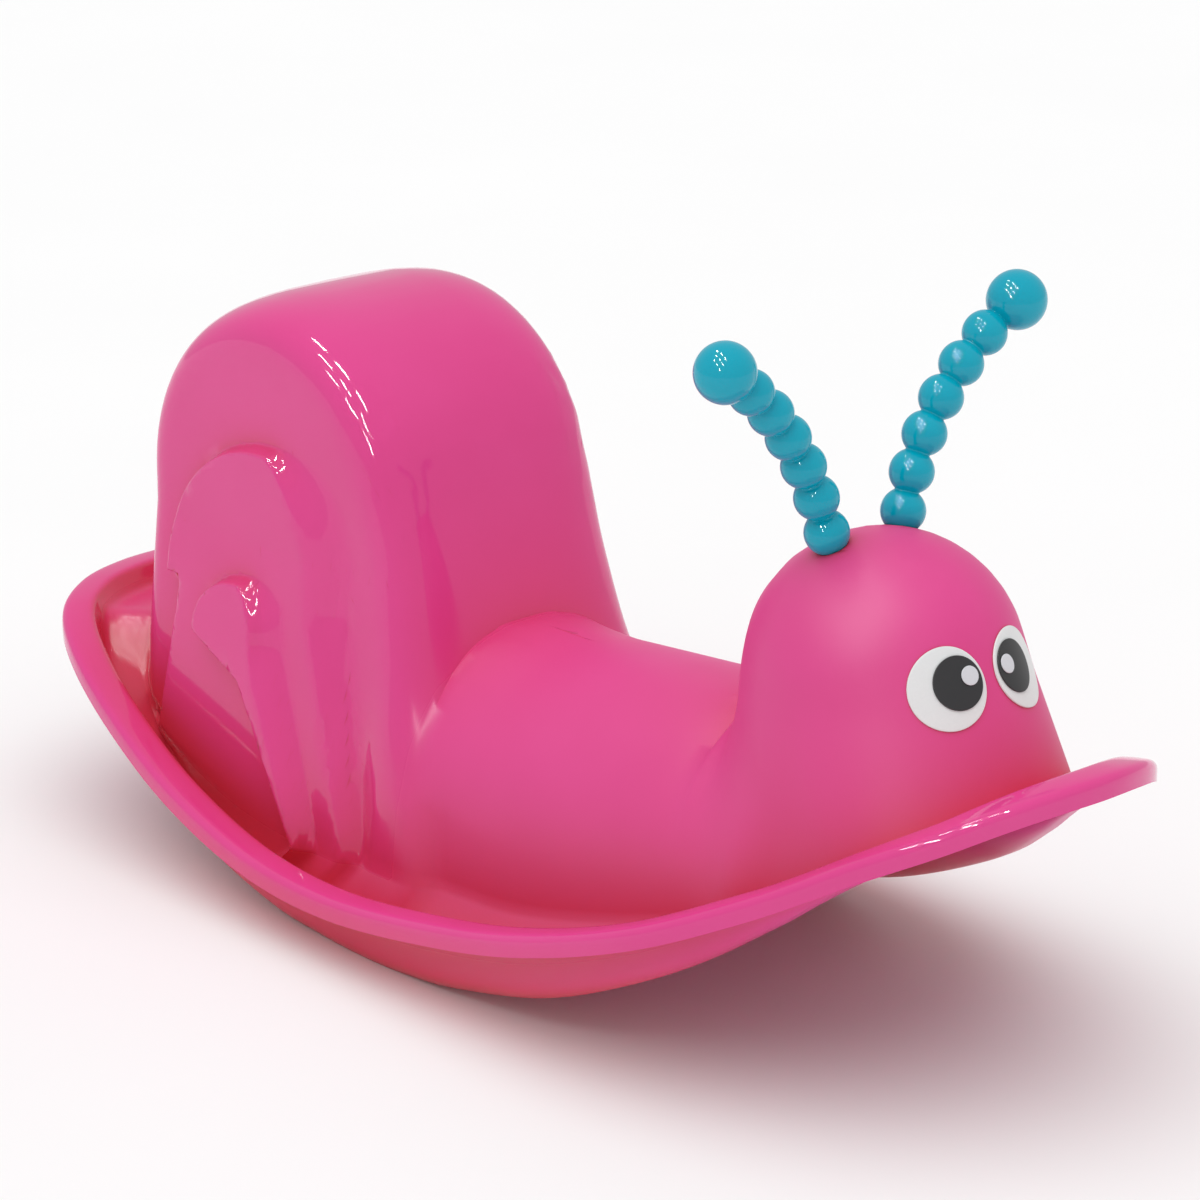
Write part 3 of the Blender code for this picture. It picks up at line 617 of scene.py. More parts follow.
TROUGH_CURVE = trough_rows()
FOOT_CURVE = smooth_through(BODY_FOOT, np.linspace(0, len(BODY_FOOT) - 1, FLOOR_CURVE_POINTS))
print("lowest floor", round(TROUGH_CURVE[:, 1].min(), 4))

# %% [markdown]
# ## One rib
# One rib is the whole cross-section at one place on the rim: over the lip, down the trough's wall, across
# the floor and up the body's side to the middle line. Its points crowd toward the middle line, where the
# round tops curve the most.

# %% One rib
# The floor stays this far below the lip, and this share of its width is level
FLOOR_BELOW_LIP = 0.003
FLOOR_FLAT_SHARE = 0.3

# The floor curves up to the body softly in front and late behind: power in front, growth, start, length
FLOOR_POWER = (1.4, 2.6, -0.10, 0.12)

# Points across the floor and up the side, times the detail, and how much those on the side crowd
FLOOR_POINTS = 8
SIDE_POINTS = 13
SIDE_CROWDING = 1.9


def side_points(top, base):
    """Points up the body's side, from its base to the middle line."""
    share = (1 - np.linspace(0, 1, DETAIL * SIDE_POINTS + 1)) ** SIDE_CROWDING
    x = top[0] + (base[0] - top[0]) * share
    z = top[1] + (base[1] - top[1]) * share
    return np.stack([x, half_width(x, z), z], 1)


def rim_points(rim, inward):
    """Points over the lip and down the wall to the trough's floor."""
    edge_height = rim[2] + RIM_SECTION[-1][1]
    points = [(*(rim[:2] + inward * inset), rim[2] + rise) for inset, rise in RIM_SECTION]
    for inset, share in WALL_SECTION:
        x, y = rim[:2] + inward * inset
        low = min(floor_height(x, y), edge_height - FLOOR_BELOW_LIP)
        points.append((x, y, low + (edge_height - low) * share))
    steps = DETAIL * (len(points) - 1) + 1
    return smooth_through(points, np.linspace(0, len(points) - 1, steps))


def floor_points(rim, inward, base):
    """Points across the trough, level at first and then curving up to the body's base."""
    foot = rim[:2] + inward * WALL_SECTION[-1][0]
    highest = rim[2] + RIM_SECTION[-1][1] - FLOOR_BELOW_LIP
    power, growth, start, length = FLOOR_POWER
    points = []
    for share in np.linspace(0, 1, DETAIL * FLOOR_POINTS + 2)[1:-1]:
        x, y = foot + (base[:2] - foot) * share
        low = min(floor_height(x, y), highest)
        climb = max(0, share - FLOOR_FLAT_SHARE) / (1 - FLOOR_FLAT_SHARE)
        bend = power + growth * float(soft_step((start - x) / length))
        points.append((x, y, low + (base[2] - low) * climb**bend))
    return points


def rib_points(angle, rim, inward, top):
    """One rib of the shell's outer face, from the lip's lower edge up to the toy's middle line."""
    base_x = np.interp(math.degrees(angle), FOOT_CURVE[:, 0], FOOT_CURVE[:, 1])
    base_z = np.interp(base_x, TROUGH_CURVE[:, 0], TROUGH_CURVE[:, 2])
    body = side_points(top, (base_x, base_z))
    return np.vstack([rim_points(rim, inward), floor_points(rim, inward, body[0]), body])


# %% [markdown]
# ## Half of the shell
# The toy is the same on both sides, so half of it is enough. The ribs join into a grid of quads. Two
# attributes go with its points: how polished the mould is, which the finish reads, and which points lie
# on the body's side, which the next step reads.

# %% Half of the shell
# Polish begins behind this place and grows over this length; the troughs are polished this much
POLISHED_BEHIND = -0.030
POLISH_FADE = 0.035
TROUGH_POLISH = 0.45


def shell_mesh():
    """Half of the shell's outer face as a grid of ribs; the middle line stays at y = 0 for mirroring."""
    angles = station_angles()
    rims = rim_at(angles)
    tops = top_at(angles)
    tangent = np.gradient(rims[:, :2], axis=0)
    tangent[0] = (0, 1)
    tangent[-1] = (0, -1)
    tangent /= np.linalg.norm(tangent, axis=1)[:, None]
    inward = np.stack([-tangent[:, 1], tangent[:, 0]], 1)
    ribs = [rib_points(*each) for each in zip(angles, rims, inward, tops)]
    ribs = np.array(ribs)
    ribs[0, :, 1] = 0
    ribs[-1, :, 1] = 0
    ribs[:, -1, 1] = 0
    stations, points = ribs.shape[:2]
    faces = []
    for i in range(stations - 1):
        for j in range(points - 1):
            a = i * points + j
            faces.append((a, a + 1, a + points + 1, a + points))
    ribs[:, :, 1] *= -1
    return ribs.reshape(-1, 3), faces


def rib_places(verts):
    """Each point's place along its rib, and how many points a rib has."""
    per_rib = len(verts) // len(station_angles())
    return np.arange(len(verts)) % per_rib, per_rib


def side_of(verts):
    """1 at the points of the body's side, 0 on the rim and in the trough."""
    along, per_rib = rib_places(verts)
    return (along >= per_rib - DETAIL * SIDE_POINTS - 1).astype(float)


def polish_of(verts):
    """How polished the mould is: 1 on the rim and backrest, less in the troughs, 0 on seat and head."""
    rim = np.where(rib_places(verts)[0] < DETAIL * len(RIM_SECTION), 1.0, TROUGH_POLISH)
    behind = soft_step((POLISHED_BEHIND - verts[:, 0]) / POLISH_FADE)
    return np.where(side_of(verts) == 1, behind, rim)


def new_mesh_object(name, verts, faces, material):
    """An object at the origin whose place is in its mesh."""
    mesh = bpy.data.meshes.new(name)
    mesh.from_pydata([tuple(v) for v in verts], [], faces)
    mesh.materials.append(material)
    made = bpy.data.objects.new(name, mesh)
    bpy.context.scene.collection.objects.link(made)
    return made


def half_shell():
    """The half shell as an object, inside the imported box, with its two attributes."""
    verts, faces = shell_mesh()
    verts[:, 0] = np.clip(verts[:, 0], cad_box[0][0], cad_box[1][0])
    verts[:, 1] = np.maximum(verts[:, 1], cad_box[0][1])
    half = new_mesh_object("half_shell", verts, faces, PINK)
    for name, values in (("gloss", polish_of(verts)), ("on_side", side_of(verts))):
        attribute = half.data.attributes.new(name, "FLOAT", "POINT")
        attribute.data.foreach_set("value", values)
    return half


HALF = half_shell()
print("half shell:", len(HALF.data.polygons), "faces")

# %% [markdown]
# ## Crisp lips
# A lip of the nested arches is 5 mm wide and leans across the grid, so the ribs alone would draw it as a
# saw. Edges that miss the rule for the width are split, and the new points are set on the rule, until the
# lips run cleaner.

# %% Crisp lips
# An edge is split when its middle misses the rule by more than this, if its face looks sideways at least
# this much and it lies behind this place; then how many rounds of it there are
SPLIT_TOLERANCE = 0.00006
SPLIT_LEAN = 0.15
SPLIT_AHEAD = -0.070
SPLIT_ROUNDS = 5
ON_MIDDLE_LINE = 1e-6

# Points this close together are merged, and faces this flat are dropped
MERGE_DISTANCE = 1e-5
FLAT_DISTANCE = 1e-6


def edit_mesh(mesh, *steps):
    """Open a mesh for editing, run the steps on it one after the other and write it back."""
    work = bmesh.new()
    work.from_mesh(mesh)
    for step in steps:
        step(work)
    work.to_mesh(mesh)
    work.free()


def weld(work):
    """Merge points that meet and drop the faces that closed up there."""
    bmesh.ops.remove_doubles(work, verts=work.verts, dist=MERGE_DISTANCE)
    bmesh.ops.dissolve_degenerate(work, edges=work.edges, dist=FLAT_DISTANCE)


def coarse_edges(work, on_side):
    """Edges of the body's side whose middles miss the rule for the width."""
    edges = []
    for edge in work.edges:
        first, second = edge.verts
        off_middle = min(first.co.y, second.co.y) < -ON_MIDDLE_LINE
        if off_middle and first[on_side] == 1 and second[on_side] == 1:
            edges.append(edge)
    middles = np.array([(edge.verts[0].co + edge.verts[1].co) / 2 for edge in edges])
    lean = np.array([abs(edge.link_faces[0].normal.y) for edge in edges])
    miss = np.abs(half_width(middles[:, 0], middles[:, 2]) + middles[:, 1]) * lean
    wanted = (miss > SPLIT_TOLERANCE) & (lean > SPLIT_LEAN) & (middles[:, 0] < SPLIT_AHEAD)
    return [edges[index] for index in np.flatnonzero(wanted)]


def split_to_rule(work):
    """Split coarse edges and set the points that this makes on the rule for the width."""
    on_side = work.verts.layers.float["on_side"]
    for _ in range(SPLIT_ROUNDS):
        work.normal_update()
        edges = coarse_edges(work, on_side)
        split = bmesh.ops.subdivide_edges(work, edges=edges, cuts=1, use_grid_fill=True)
        for point in split["geom_inner"]:
            if isinstance(point, bmesh.types.BMVert) and point[on_side] == 1:
                point.co.y = -float(half_width(point.co.x, point.co.z))


edit_mesh(HALF.data, weld)
edit_mesh(HALF.data, split_to_rule)
print("split half shell:", len(HALF.data.polygons), "faces")

# %% [markdown]
# ## Soft joins
# Where the seat meets the backrest and the head, and in the trough's rear corner, a mould has fillets. The
# points there are evened out, which rounds the joins and leaves the rest of the form alone. Along the seat
# only the half-width moves, so the side view stays as it is.

# %% Soft joins
# Where the seat flows into backrest and head: from this far behind to this far ahead, above a height and
# beyond a half-width
JOIN_SPAN = (-0.115, 0.215)
JOIN_ABOVE = 0.080
JOIN_BEYOND = 0.022
JOIN_ROUNDS = 14

# The trough's rear corner: its floor lies behind this place, the foot of the backrest's corner behind that
TAIL_FLOOR = -0.255
TAIL_FOOT = -0.290
TAIL_ROUNDS = 8

# How closely the trough's polish is recognised, and how far one round of evening out goes
SAME_POLISH = 0.01
EVEN_SHARE = 0.5


def even_out(work, points, rounds, axes):
    """Move points toward the middle of their neighbours, along these axes only."""
    allowed = {f"use_axis_{axis}": True for axis in axes}
    for _ in range(rounds):
        bmesh.ops.smooth_vert(work, verts=points, factor=EVEN_SHARE, **allowed)


def soften_joins(work):
    """Even out the half-width where the seat meets the backrest and the head, as a mould's fillet does."""
    on_side = work.verts.layers.float["on_side"]
    joins = []
    for point in work.verts:
        x, y, z = point.co
        if point[on_side] == 1 and JOIN_SPAN[0] < x < JOIN_SPAN[1] and z > JOIN_ABOVE and y < -JOIN_BEYOND:
            joins.append(point)
    even_out(work, joins, JOIN_ROUNDS, "y")


def soften_tail(work):
    """Even out the trough's rear corner, where shelf, floor and backrest meet in a small space."""
    on_side = work.verts.layers.float["on_side"]
    gloss = work.verts.layers.float["gloss"]
    corner = []
    for point in work.verts:
        x, y, z = point.co
        in_trough = point[on_side] == 0 and abs(point[gloss] - TROUGH_POLISH) < SAME_POLISH
        floor = in_trough and x < TAIL_FLOOR
        foot = point[on_side] == 1 and x < TAIL_FOOT and z < SHELF_HEIGHT
        if (floor or foot) and y < -JOIN_BEYOND:
            corner.append(point)
    even_out(work, corner, TAIL_ROUNDS, "xyz")


edit_mesh(HALF.data, soften_joins, soften_tail)
print("half-width over all:", round(-min(point.co.y for point in HALF.data.vertices), 4))

# %% [markdown]
# ## Skins of rings
# The bosses under the head, the sockets for the handles and the eye discs are round, so each is a stack of
# equal rings joined by quads, the same way a potter stacks coils.

# %% Skins of rings


def ring(centre, axis, radius, segments):
    """Points of a circle round the axis, starting toward +X."""
    axis = Vector(axis).normalized()
    across = (Vector((1, 0, 0)) - axis * axis[0]).normalized()
    up = axis.cross(across)
    turns = [2 * math.pi * k / segments for k in range(segments)]
    return [Vector(centre) + radius * (across * math.cos(t) + up * math.sin(t)) for t in turns]


def skin(rings, closed=False):
    """Join equal rings into one closed skin, capping both ends or joining the last ring to the first."""
    count = len(rings[0])
    verts = [point for one in rings for point in one]
    faces = []
    last = len(rings) if closed else len(rings) - 1
    for i in range(last):
        here = i * count
        there = (i + 1) % len(rings) * count
        for j in range(count):
            k = (j + 1) % count
            faces.append((here + j, here + k, there + k, there + j))
    if not closed:
        faces.append(tuple(range(count))[::-1])
        faces.append(tuple(range(len(verts) - count, len(verts))))
    return verts, faces


def mirrored(verts, faces):
    """The same skin on the toy's other side."""
    return [Vector((v[0], -v[1], v[2])) for v in verts], [tuple(face)[::-1] for face in faces]


def both_sides(verts, faces):
    """A skin together with its mirror copy."""
    other, other_faces = mirrored(verts, faces)
    count = len(verts)
    moved = [tuple(index + count for index in face) for face in other_faces]
    return list(verts) + other, list(faces) + moved


# %% [markdown]
# ## Places of the handles
# Each handle is a string of beads whose direction turns a little at every bead. The same rule places the
# sockets in the head, the bosses that take the screws, and later the beads themselves.

# %% Places of the handles
# Beads, the ball on top and the steps from middle to middle
BEAD_RADIUS = 0.0125
BALL_RADIUS = 0.0170
BEAD_STEP = 0.0215
BALL_STEP = 0.0263
BEADS = 6

# Middle of the first bead, how the string leans out there and at each further bead, and its forward sway
ANTENNA_FOOT = Vector((0.2254, 0.0286, 0.2925))
ANTENNA_LEAN = math.radians(15.5)
ANTENNA_BEND = math.radians(7.1)
ANTENNA_SWAY = 0.032

# The handle's foot in its socket: a flat seat below the first bead, then a spigot with some room below it
# and a gap all round; the cup that takes the first bead is drawn at these angles
SEAT_DROP = 0.0100
SPIGOT_RADIUS = 0.0060
SPIGOT_LENGTH = 0.0170
SOCKET_BELOW = 0.0030
GAP = 0.0003
CUP_DEGREES = (-38, -19, 0, 19, 38, 60)

# The boss: its radius, how far it passes the spigot's end and how far its top stays under the outer face
BOSS_RADIUS = 0.0100
BOSS_EXTRA = 0.0005
BOSS_UNDER_SKIN = 0.0017


def antenna_direction(turns):
    """Direction of the bead string after a number of bends: outward, and from slightly back to forward."""
    lean = ANTENNA_LEAN + ANTENNA_BEND * turns
    return Vector((ANTENNA_SWAY * (turns - 2), math.sin(lean), math.cos(lean))).normalized()


def socket_rings(segments):
    """The space an antenna's foot needs in the head: bore, flat seat and cup for the first bead."""
    axis = antenna_direction(0)
    cup = BEAD_RADIUS + GAP
    seat = SEAT_DROP + GAP
    rows = [
        (-SEAT_DROP - SPIGOT_LENGTH - SOCKET_BELOW, SPIGOT_RADIUS + GAP),
        (-seat, SPIGOT_RADIUS + GAP),
        (-seat, math.sqrt(cup**2 - seat**2)),
    ]
    for degrees in CUP_DEGREES:
        turn = math.radians(degrees)
        rows.append((cup * math.sin(turn), cup * math.cos(turn)))
    return [ring(axis * along, axis, radius, segments) for along, radius in rows]


def boss_rings(segments):
    """A tube boss under the head, its top following the head just inside the outer face."""
    axis = antenna_direction(0)
    bottom = ring(axis * (-SEAT_DROP - SPIGOT_LENGTH - BOSS_EXTRA), axis, BOSS_RADIUS, segments)
    middle = Vector((HEAD_CENTRE[0], 0, HEAD_CENTRE[1])) - ANTENNA_FOOT
    reach = HEAD_RADIUS - BOSS_UNDER_SKIN
    top = []
    for point in bottom:
        offset = point - middle
        along = offset.dot(axis)
        rise = -along + math.sqrt(along**2 - offset.length_squared + reach**2)
        top.append(point + axis * rise)
    return [bottom, top]


# %% [markdown]
# ## Wall, bosses and sockets
# Modifiers do what the mould does: Mirror adds the other side and Solidify gives the wall its 3.4 mm. Exact
# Booleans add the bosses under the head, cut the sockets and grind the runners flat where the toy rests.
# All of it is applied on the evaluated object, so what is kept is a plain closed mesh that stands for the
# packed shell.

# %% Wall, bosses and sockets
WALL = 0.0034
MIDDLE_MERGE = 0.0001
ROUND_SIDES = 48
SHELL_CREASE = math.radians(50)

# Flat pads of the runners, where the toy rests
PAD_MIDDLE = -0.0375
PAD_HALF_LENGTH = 0.064
PAD_CUT_REACH = 0.2
PAD_CUT_DEPTH = 0.01


def box_skin(low, high):
    """A box between two corners."""
    corners = [(x, y, z) for z in (low[2], high[2]) for y in (low[1], high[1]) for x in (low[0], high[0])]
    faces = [(0, 2, 3, 1), (4, 5, 7, 6), (0, 1, 5, 4), (2, 6, 7, 3), (0, 4, 6, 2), (1, 3, 7, 5)]
    return [Vector(c) for c in corners], faces


def add_cut(shell, name, skin_parts, operation):
    """Add or cut a guide form on the shell with an exact Boolean."""
    guide = new_mesh_object(name, *skin_parts, PINK)
    cut = shell.modifiers.new(name, "BOOLEAN")
    cut.operation = operation
    cut.solver = "EXACT"
    cut.object = guide
    return guide


def handle_skin(rings):
    """A skin of rings, moved to the foot of the handle, with its mirror copy."""
    verts, faces = skin(rings)
    return both_sides([point + ANTENNA_FOOT for point in verts], faces)


def applied(source, name):
    """A plain-mesh piece from an object with its modifiers applied; the source is removed."""
    graph = bpy.context.evaluated_depsgraph_get()
    mesh = bpy.data.meshes.new_from_object(source.evaluated_get(graph))
    mesh.name = name
    bpy.data.objects.remove(source)
    piece = bpy.data.objects.new(name, mesh)
    bpy.context.scene.collection.objects.link(piece)
    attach(piece, "root")
    return piece


def build_shell(half):
    """Both sides of the shell with its wall, bosses, sockets and pads."""
    mirror = half.modifiers.new("other side", "MIRROR")
    mirror.use_axis = (False, True, False)
    mirror.merge_threshold = MIDDLE_MERGE
    wall = half.modifiers.new("wall", "SOLIDIFY")
    wall.thickness = WALL
    wall.offset = -1
    pad_low = (PAD_MIDDLE - PAD_HALF_LENGTH, -PAD_CUT_REACH, -PAD_CUT_DEPTH)
    pad_high = (PAD_MIDDLE + PAD_HALF_LENGTH, PAD_CUT_REACH, 0)
    guides = [
        add_cut(half, "antenna_bosses", handle_skin(boss_rings(ROUND_SIDES)), "UNION"),
        add_cut(half, "antenna_sockets", handle_skin(socket_rings(ROUND_SIDES)), "DIFFERENCE"),
        add_cut(half, "runner_pads", box_skin(pad_low, pad_high), "DIFFERENCE"),
    ]
    shell = applied(half, "fine_shell")
    for guide in guides:
        bpy.data.objects.remove(guide)
    shell.data.shade_smooth()
    shell.data.set_sharp_from_angle(angle=SHELL_CREASE)
    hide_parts("body_shell")
    return shell


SHELL = build_shell(HALF)
print("fine shell:", len(SHELL.data.polygons), "faces")

# %% [markdown]
# ## Teal polyethylene
# The handles are blow-moulded polyethylene: a hollow skin pressed against a polished mould by air. The
# skin cools unevenly, so its shine is broken by a very slight orange-peel waviness, a few millimetres from
# crest to crest, and fingers leave faint wiped patches.

# %% Teal polyethylene
TEAL_DEEP = "#00A0BA"
TEAL_LIGHT = "#02A9C0"
TEAL_SPECULAR = 0.4
TEAL_ROUGHNESS = (0.02, 0.06)
TEAL_SHADE_MM = 40
TEAL_WIPE_MM = 11.1
PEEL_MM = 3.85
PEEL_HEIGHT = 0.0001
PEEL_STRENGTH = 0.02


def teal_polyethylene():
    """The finish of the handles."""
    material, tree, shader = new_material("teal_polyethylene")
    place = add_node(tree, "ShaderNodeTexCoord").outputs["Object"]
    shade = add_node(tree, "ShaderNodeTexNoise", patches(place, TEAL_SHADE_MM, 2))
    tint = add_node(tree, "ShaderNodeValToRGB", {"Fac": shade})
    for stop, colour in zip(tint.color_ramp.elements, (TEAL_DEEP, TEAL_LIGHT)):
        stop.color = linear(colour)
    wipes = add_node(tree, "ShaderNodeTexNoise", patches(place, TEAL_WIPE_MM, 4))
    rough = add_node(tree, "ShaderNodeMapRange", between(wipes, TEAL_ROUGHNESS))
    peel = add_node(tree, "ShaderNodeTexNoise", patches(place, PEEL_MM, 1))
    heights = {"Height": peel, "Strength": PEEL_STRENGTH, "Distance": PEEL_HEIGHT}
    wavy = add_node(tree, "ShaderNodeBump", heights)
    finish = {"Base Color": tint, "Roughness": rough, "Normal": wavy, "Specular IOR Level": TEAL_SPECULAR}
    fill_sockets(tree, shader, finish)
    return material


TEAL = teal_polyethylene()
print("finish:", TEAL.name)

# %% [markdown]
# ## Path of a handle
# A handle's path starts at the end of its spigot and ends on top of its ball. It is walked in short equal
# steps whose direction turns from bead to bead, so its length is known at every point.

# %% Path of a handle
PATH_POINTS = 420
FIRST_BEAD = SEAT_DROP + SPIGOT_LENGTH
BALL_PLACE = FIRST_BEAD + (BEADS - 1) * BEAD_STEP + BALL_STEP

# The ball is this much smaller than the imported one, to stay inside its box
BALL_TRIM = 0.0003
VISIBLE_BALL = BALL_RADIUS - BALL_TRIM


def handle_path(side):
    """Points along one handle from the end of its spigot to the top of its ball."""
    ends = np.linspace(0, BALL_PLACE + VISIBLE_BALL, PATH_POINTS)
    step = ends[1] - ends[0]
    bead_starts = [FIRST_BEAD + BEAD_STEP * bead for bead in range(BEADS)] + [BALL_PLACE]
    point = Vector(ANTENNA_FOOT) - antenna_direction(0) * FIRST_BEAD
    points = [point.copy()]
    for end in ends[1:]:
        turn = float(np.interp(end - step / 2, bead_starts, range(BEADS + 1)))
        point = point + antenna_direction(turn) * step
        points.append(point.copy())
    return [(p.x, p.y * side, p.z) for p in points]


def path_object(name, points):
    """A curve object through the points."""
    path = bpy.data.curves.new(name, "CURVE")
    path.dimensions = "3D"
    spline = path.splines.new("POLY")
    spline.points.add(len(points) - 1)
    for target, point in zip(spline.points, points):
        target.co = (*point, 1)
    made = bpy.data.objects.new(name, path)
    bpy.context.scene.collection.objects.link(made)
    return made


print("path length", round(BALL_PLACE + VISIBLE_BALL, 4))

# %% [markdown]
# ## Bead-string handles
# Each handle is one moulding in the form of six beads and a ball. It is a tube whose radius swells and
# shrinks along its path, so one path and one rule for the radius make it all. The rule runs in Geometry
# Nodes: every place on the path finds its nearest bead, and the radius there is a circle's height over
# that bead's centre. The sizes are named inputs, so the same nodes could string other beads.

# %% Rule for the radius
NECK_RADIUS = 0.0068
TUBE_SIDES = 48
HANDLE_SIZES = {
    "First bead": FIRST_BEAD,
    "Bead step": BEAD_STEP,
    "Last bead number": float(BEADS - 1),
    "Bead radius": BEAD_RADIUS,
    "Neck radius": NECK_RADIUS,
    "Ball place": BALL_PLACE,
    "Ball radius": VISIBLE_BALL,
    "Spigot length": SPIGOT_LENGTH,
    "Spigot radius": SPIGOT_RADIUS,
}


def sphere_section(tree, length, centre, radius):
    """Radius of a sphere's section at a length along the path, 0 outside the sphere."""
    offset = add_node(tree, "ShaderNodeMath", {0: length, 1: centre}, operation="SUBTRACT")
    offset_square = add_node(tree, "ShaderNodeMath", {0: offset, 1: offset}, operation="MULTIPLY")
    radius_square = add_node(tree, "ShaderNodeMath", {0: radius, 1: radius}, operation="MULTIPLY")
    left = add_node(tree, "ShaderNodeMath", {0: radius_square, 1: offset_square}, operation="SUBTRACT")
    inside = add_node(tree, "ShaderNodeMath", {0: left, 1: 0.0}, operation="MAXIMUM")
    return add_node(tree, "ShaderNodeMath", {0: inside}, operation="SQRT")


def bead_section(tree, length, sizes):
    """Radius of the nearest bead's section, or of the neck where two beads meet."""
    step = sizes["Bead step"]
    first = sizes["First bead"]
    last = sizes["Last bead number"]
    passed = add_node(tree, "ShaderNodeMath", {0: length, 1: first}, operation="SUBTRACT")
    steps = add_node(tree, "ShaderNodeMath", {0: passed, 1: step}, operation="DIVIDE")
    whole = add_node(tree, "ShaderNodeMath", {0: steps}, operation="ROUND")
    from_first = add_node(tree, "ShaderNodeMath", {0: whole, 1: 0.0}, operation="MAXIMUM")
    nearest = add_node(tree, "ShaderNodeMath", {0: from_first, 1: last}, operation="MINIMUM")
    travel = add_node(tree, "ShaderNodeMath", {0: nearest, 1: step}, operation="MULTIPLY")
    centre = add_node(tree, "ShaderNodeMath", {0: travel, 1: first}, operation="ADD")
    bead = sphere_section(tree, length, centre, sizes["Bead radius"])
    to_ball = {0: length, 1: sizes["Ball place"]}
    before_ball = add_node(tree, "ShaderNodeMath", to_ball, operation="LESS_THAN")
    thickness = {0: before_ball, 1: sizes["Neck radius"]}
    neck = add_node(tree, "ShaderNodeMath", thickness, operation="MULTIPLY")
    return add_node(tree, "ShaderNodeMath", {0: bead, 1: neck}, operation="MAXIMUM")


def handle_radius(tree, sizes):
    """Radius along the whole path: the spigot first, then the beads, then the ball."""
    length = add_node(tree, "GeometryNodeSplineParameter").outputs["Length"]
    beads = bead_section(tree, length, sizes)
    ball = sphere_section(tree, length, sizes["Ball place"], sizes["Ball radius"])
    past_spigot = {0: length, 1: sizes["Spigot length"]}
    above_seat = add_node(tree, "ShaderNodeMath", past_spigot, operation="GREATER_THAN")
    below_seat = add_node(tree, "ShaderNodeMath", {0: 1.0, 1: above_seat}, operation="SUBTRACT")
    beads = add_node(tree, "ShaderNodeMath", {0: beads, 1: above_seat}, operation="MULTIPLY")
    thickness = {0: below_seat, 1: sizes["Spigot radius"]}
    spigot = add_node(tree, "ShaderNodeMath", thickness, operation="MULTIPLY")
    round_parts = add_node(tree, "ShaderNodeMath", {0: beads, 1: ball}, operation="MAXIMUM")
    return add_node(tree, "ShaderNodeMath", {0: round_parts, 1: spigot}, operation="MAXIMUM")


# %% [markdown]
# ## From path to handle
# A circle is swept along the path and scaled by the rule, its two ends are capped, and the nodes end by
# making the result real and giving it the teal finish. Each size is set on the modifier by its socket's
# identifier before the handle is evaluated.

# %% Build the handles
HANDLE_CREASE = math.radians(60)


def bead_tree():
    """Geometry Nodes: a path becomes a string of beads with a ball at its end."""
    tree = bpy.data.node_groups.new("bead_string", "GeometryNodeTree")
    tree.interface.new_socket("Path", in_out="INPUT", socket_type="NodeSocketGeometry")
    for name in HANDLE_SIZES:
        tree.interface.new_socket(name, in_out="INPUT", socket_type="NodeSocketFloat")
    tree.interface.new_socket("Handle", in_out="OUTPUT", socket_type="NodeSocketGeometry")
    given = add_node(tree, "NodeGroupInput").outputs
    round_profile = {"Resolution": TUBE_SIDES, "Radius": 1.0}
    circle = add_node(tree, "GeometryNodeCurvePrimitiveCircle", round_profile)
    sweep = {
        "Curve": given["Path"],
        "Profile Curve": circle,
        "Scale": handle_radius(tree, given),
        "Fill Caps": True,
    }
    tube = add_node(tree, "GeometryNodeCurveToMesh", sweep)
    smooth = add_node(tree, "GeometryNodeSetShadeSmooth", {"Geometry": tube})
    real = add_node(tree, "GeometryNodeRealizeInstances", {"Geometry": smooth})
    coated = add_node(tree, "GeometryNodeSetMaterial", {"Geometry": real, "Material": TEAL})
    add_node(tree, "NodeGroupOutput", {"Handle": coated})
    return tree


def outward(work):
    """Turn every face so that it looks out of the closed mesh."""
    bmesh.ops.recalc_face_normals(work, faces=work.faces)


def build_handle(tree, name, side):
    """String the beads on one handle's path and keep the result as a plain mesh."""
    source = path_object(name + "_path", handle_path(side))
    beads = source.modifiers.new("beads", "NODES")
    beads.node_group = tree
    for socket in tree.interface.items_tree:
        if socket.name in HANDLE_SIZES:
            beads[socket.identifier] = HANDLE_SIZES[socket.name]
    handle = applied(source, "fine_" + name)
    edit_mesh(handle.data, weld)
    edit_mesh(handle.data, outward)
    handle.data.set_sharp_from_angle(angle=HANDLE_CREASE)
    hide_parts(name)
    print(handle.name, len(handle.data.polygons), "faces")


BEAD_TREE = bead_tree()
build_handle(BEAD_TREE, "antenna_left", 1)
build_handle(BEAD_TREE, "antenna_right", -1)

# %% [markdown]
# ## Printed vinyl for the eyes
# The eye discs are taken to be printed vinyl. Ink on vinyl dries to a satin skin, so each colour has a
# fine grain in its shine and, very faintly, in its shade. It is drawn coarse enough to show.

# %% Eye finishes
PRINT_GRAIN_MM = 1.428
PRINT_SHADE = (0.97, 1.03)


def eye_finish(name, hex_colour, roughness):
    """One printed colour of an eye, between two roughnesses."""
    material, tree, shader = new_material(name)
    place = add_node(tree, "ShaderNodeTexCoord").outputs["Object"]
    grain = add_node(tree, "ShaderNodeTexNoise", patches(place, PRINT_GRAIN_MM, 3))
    rough = add_node(tree, "ShaderNodeMapRange", between(grain, roughness))
    brightness = add_node(tree, "ShaderNodeMapRange", between(grain, PRINT_SHADE))
    colour = {"Color": linear(hex_colour), "Value": brightness}
    shade = add_node(tree, "ShaderNodeHueSaturation", colour)
    fill_sockets(tree, shader, {"Base Color": shade, "Roughness": rough})
    return material


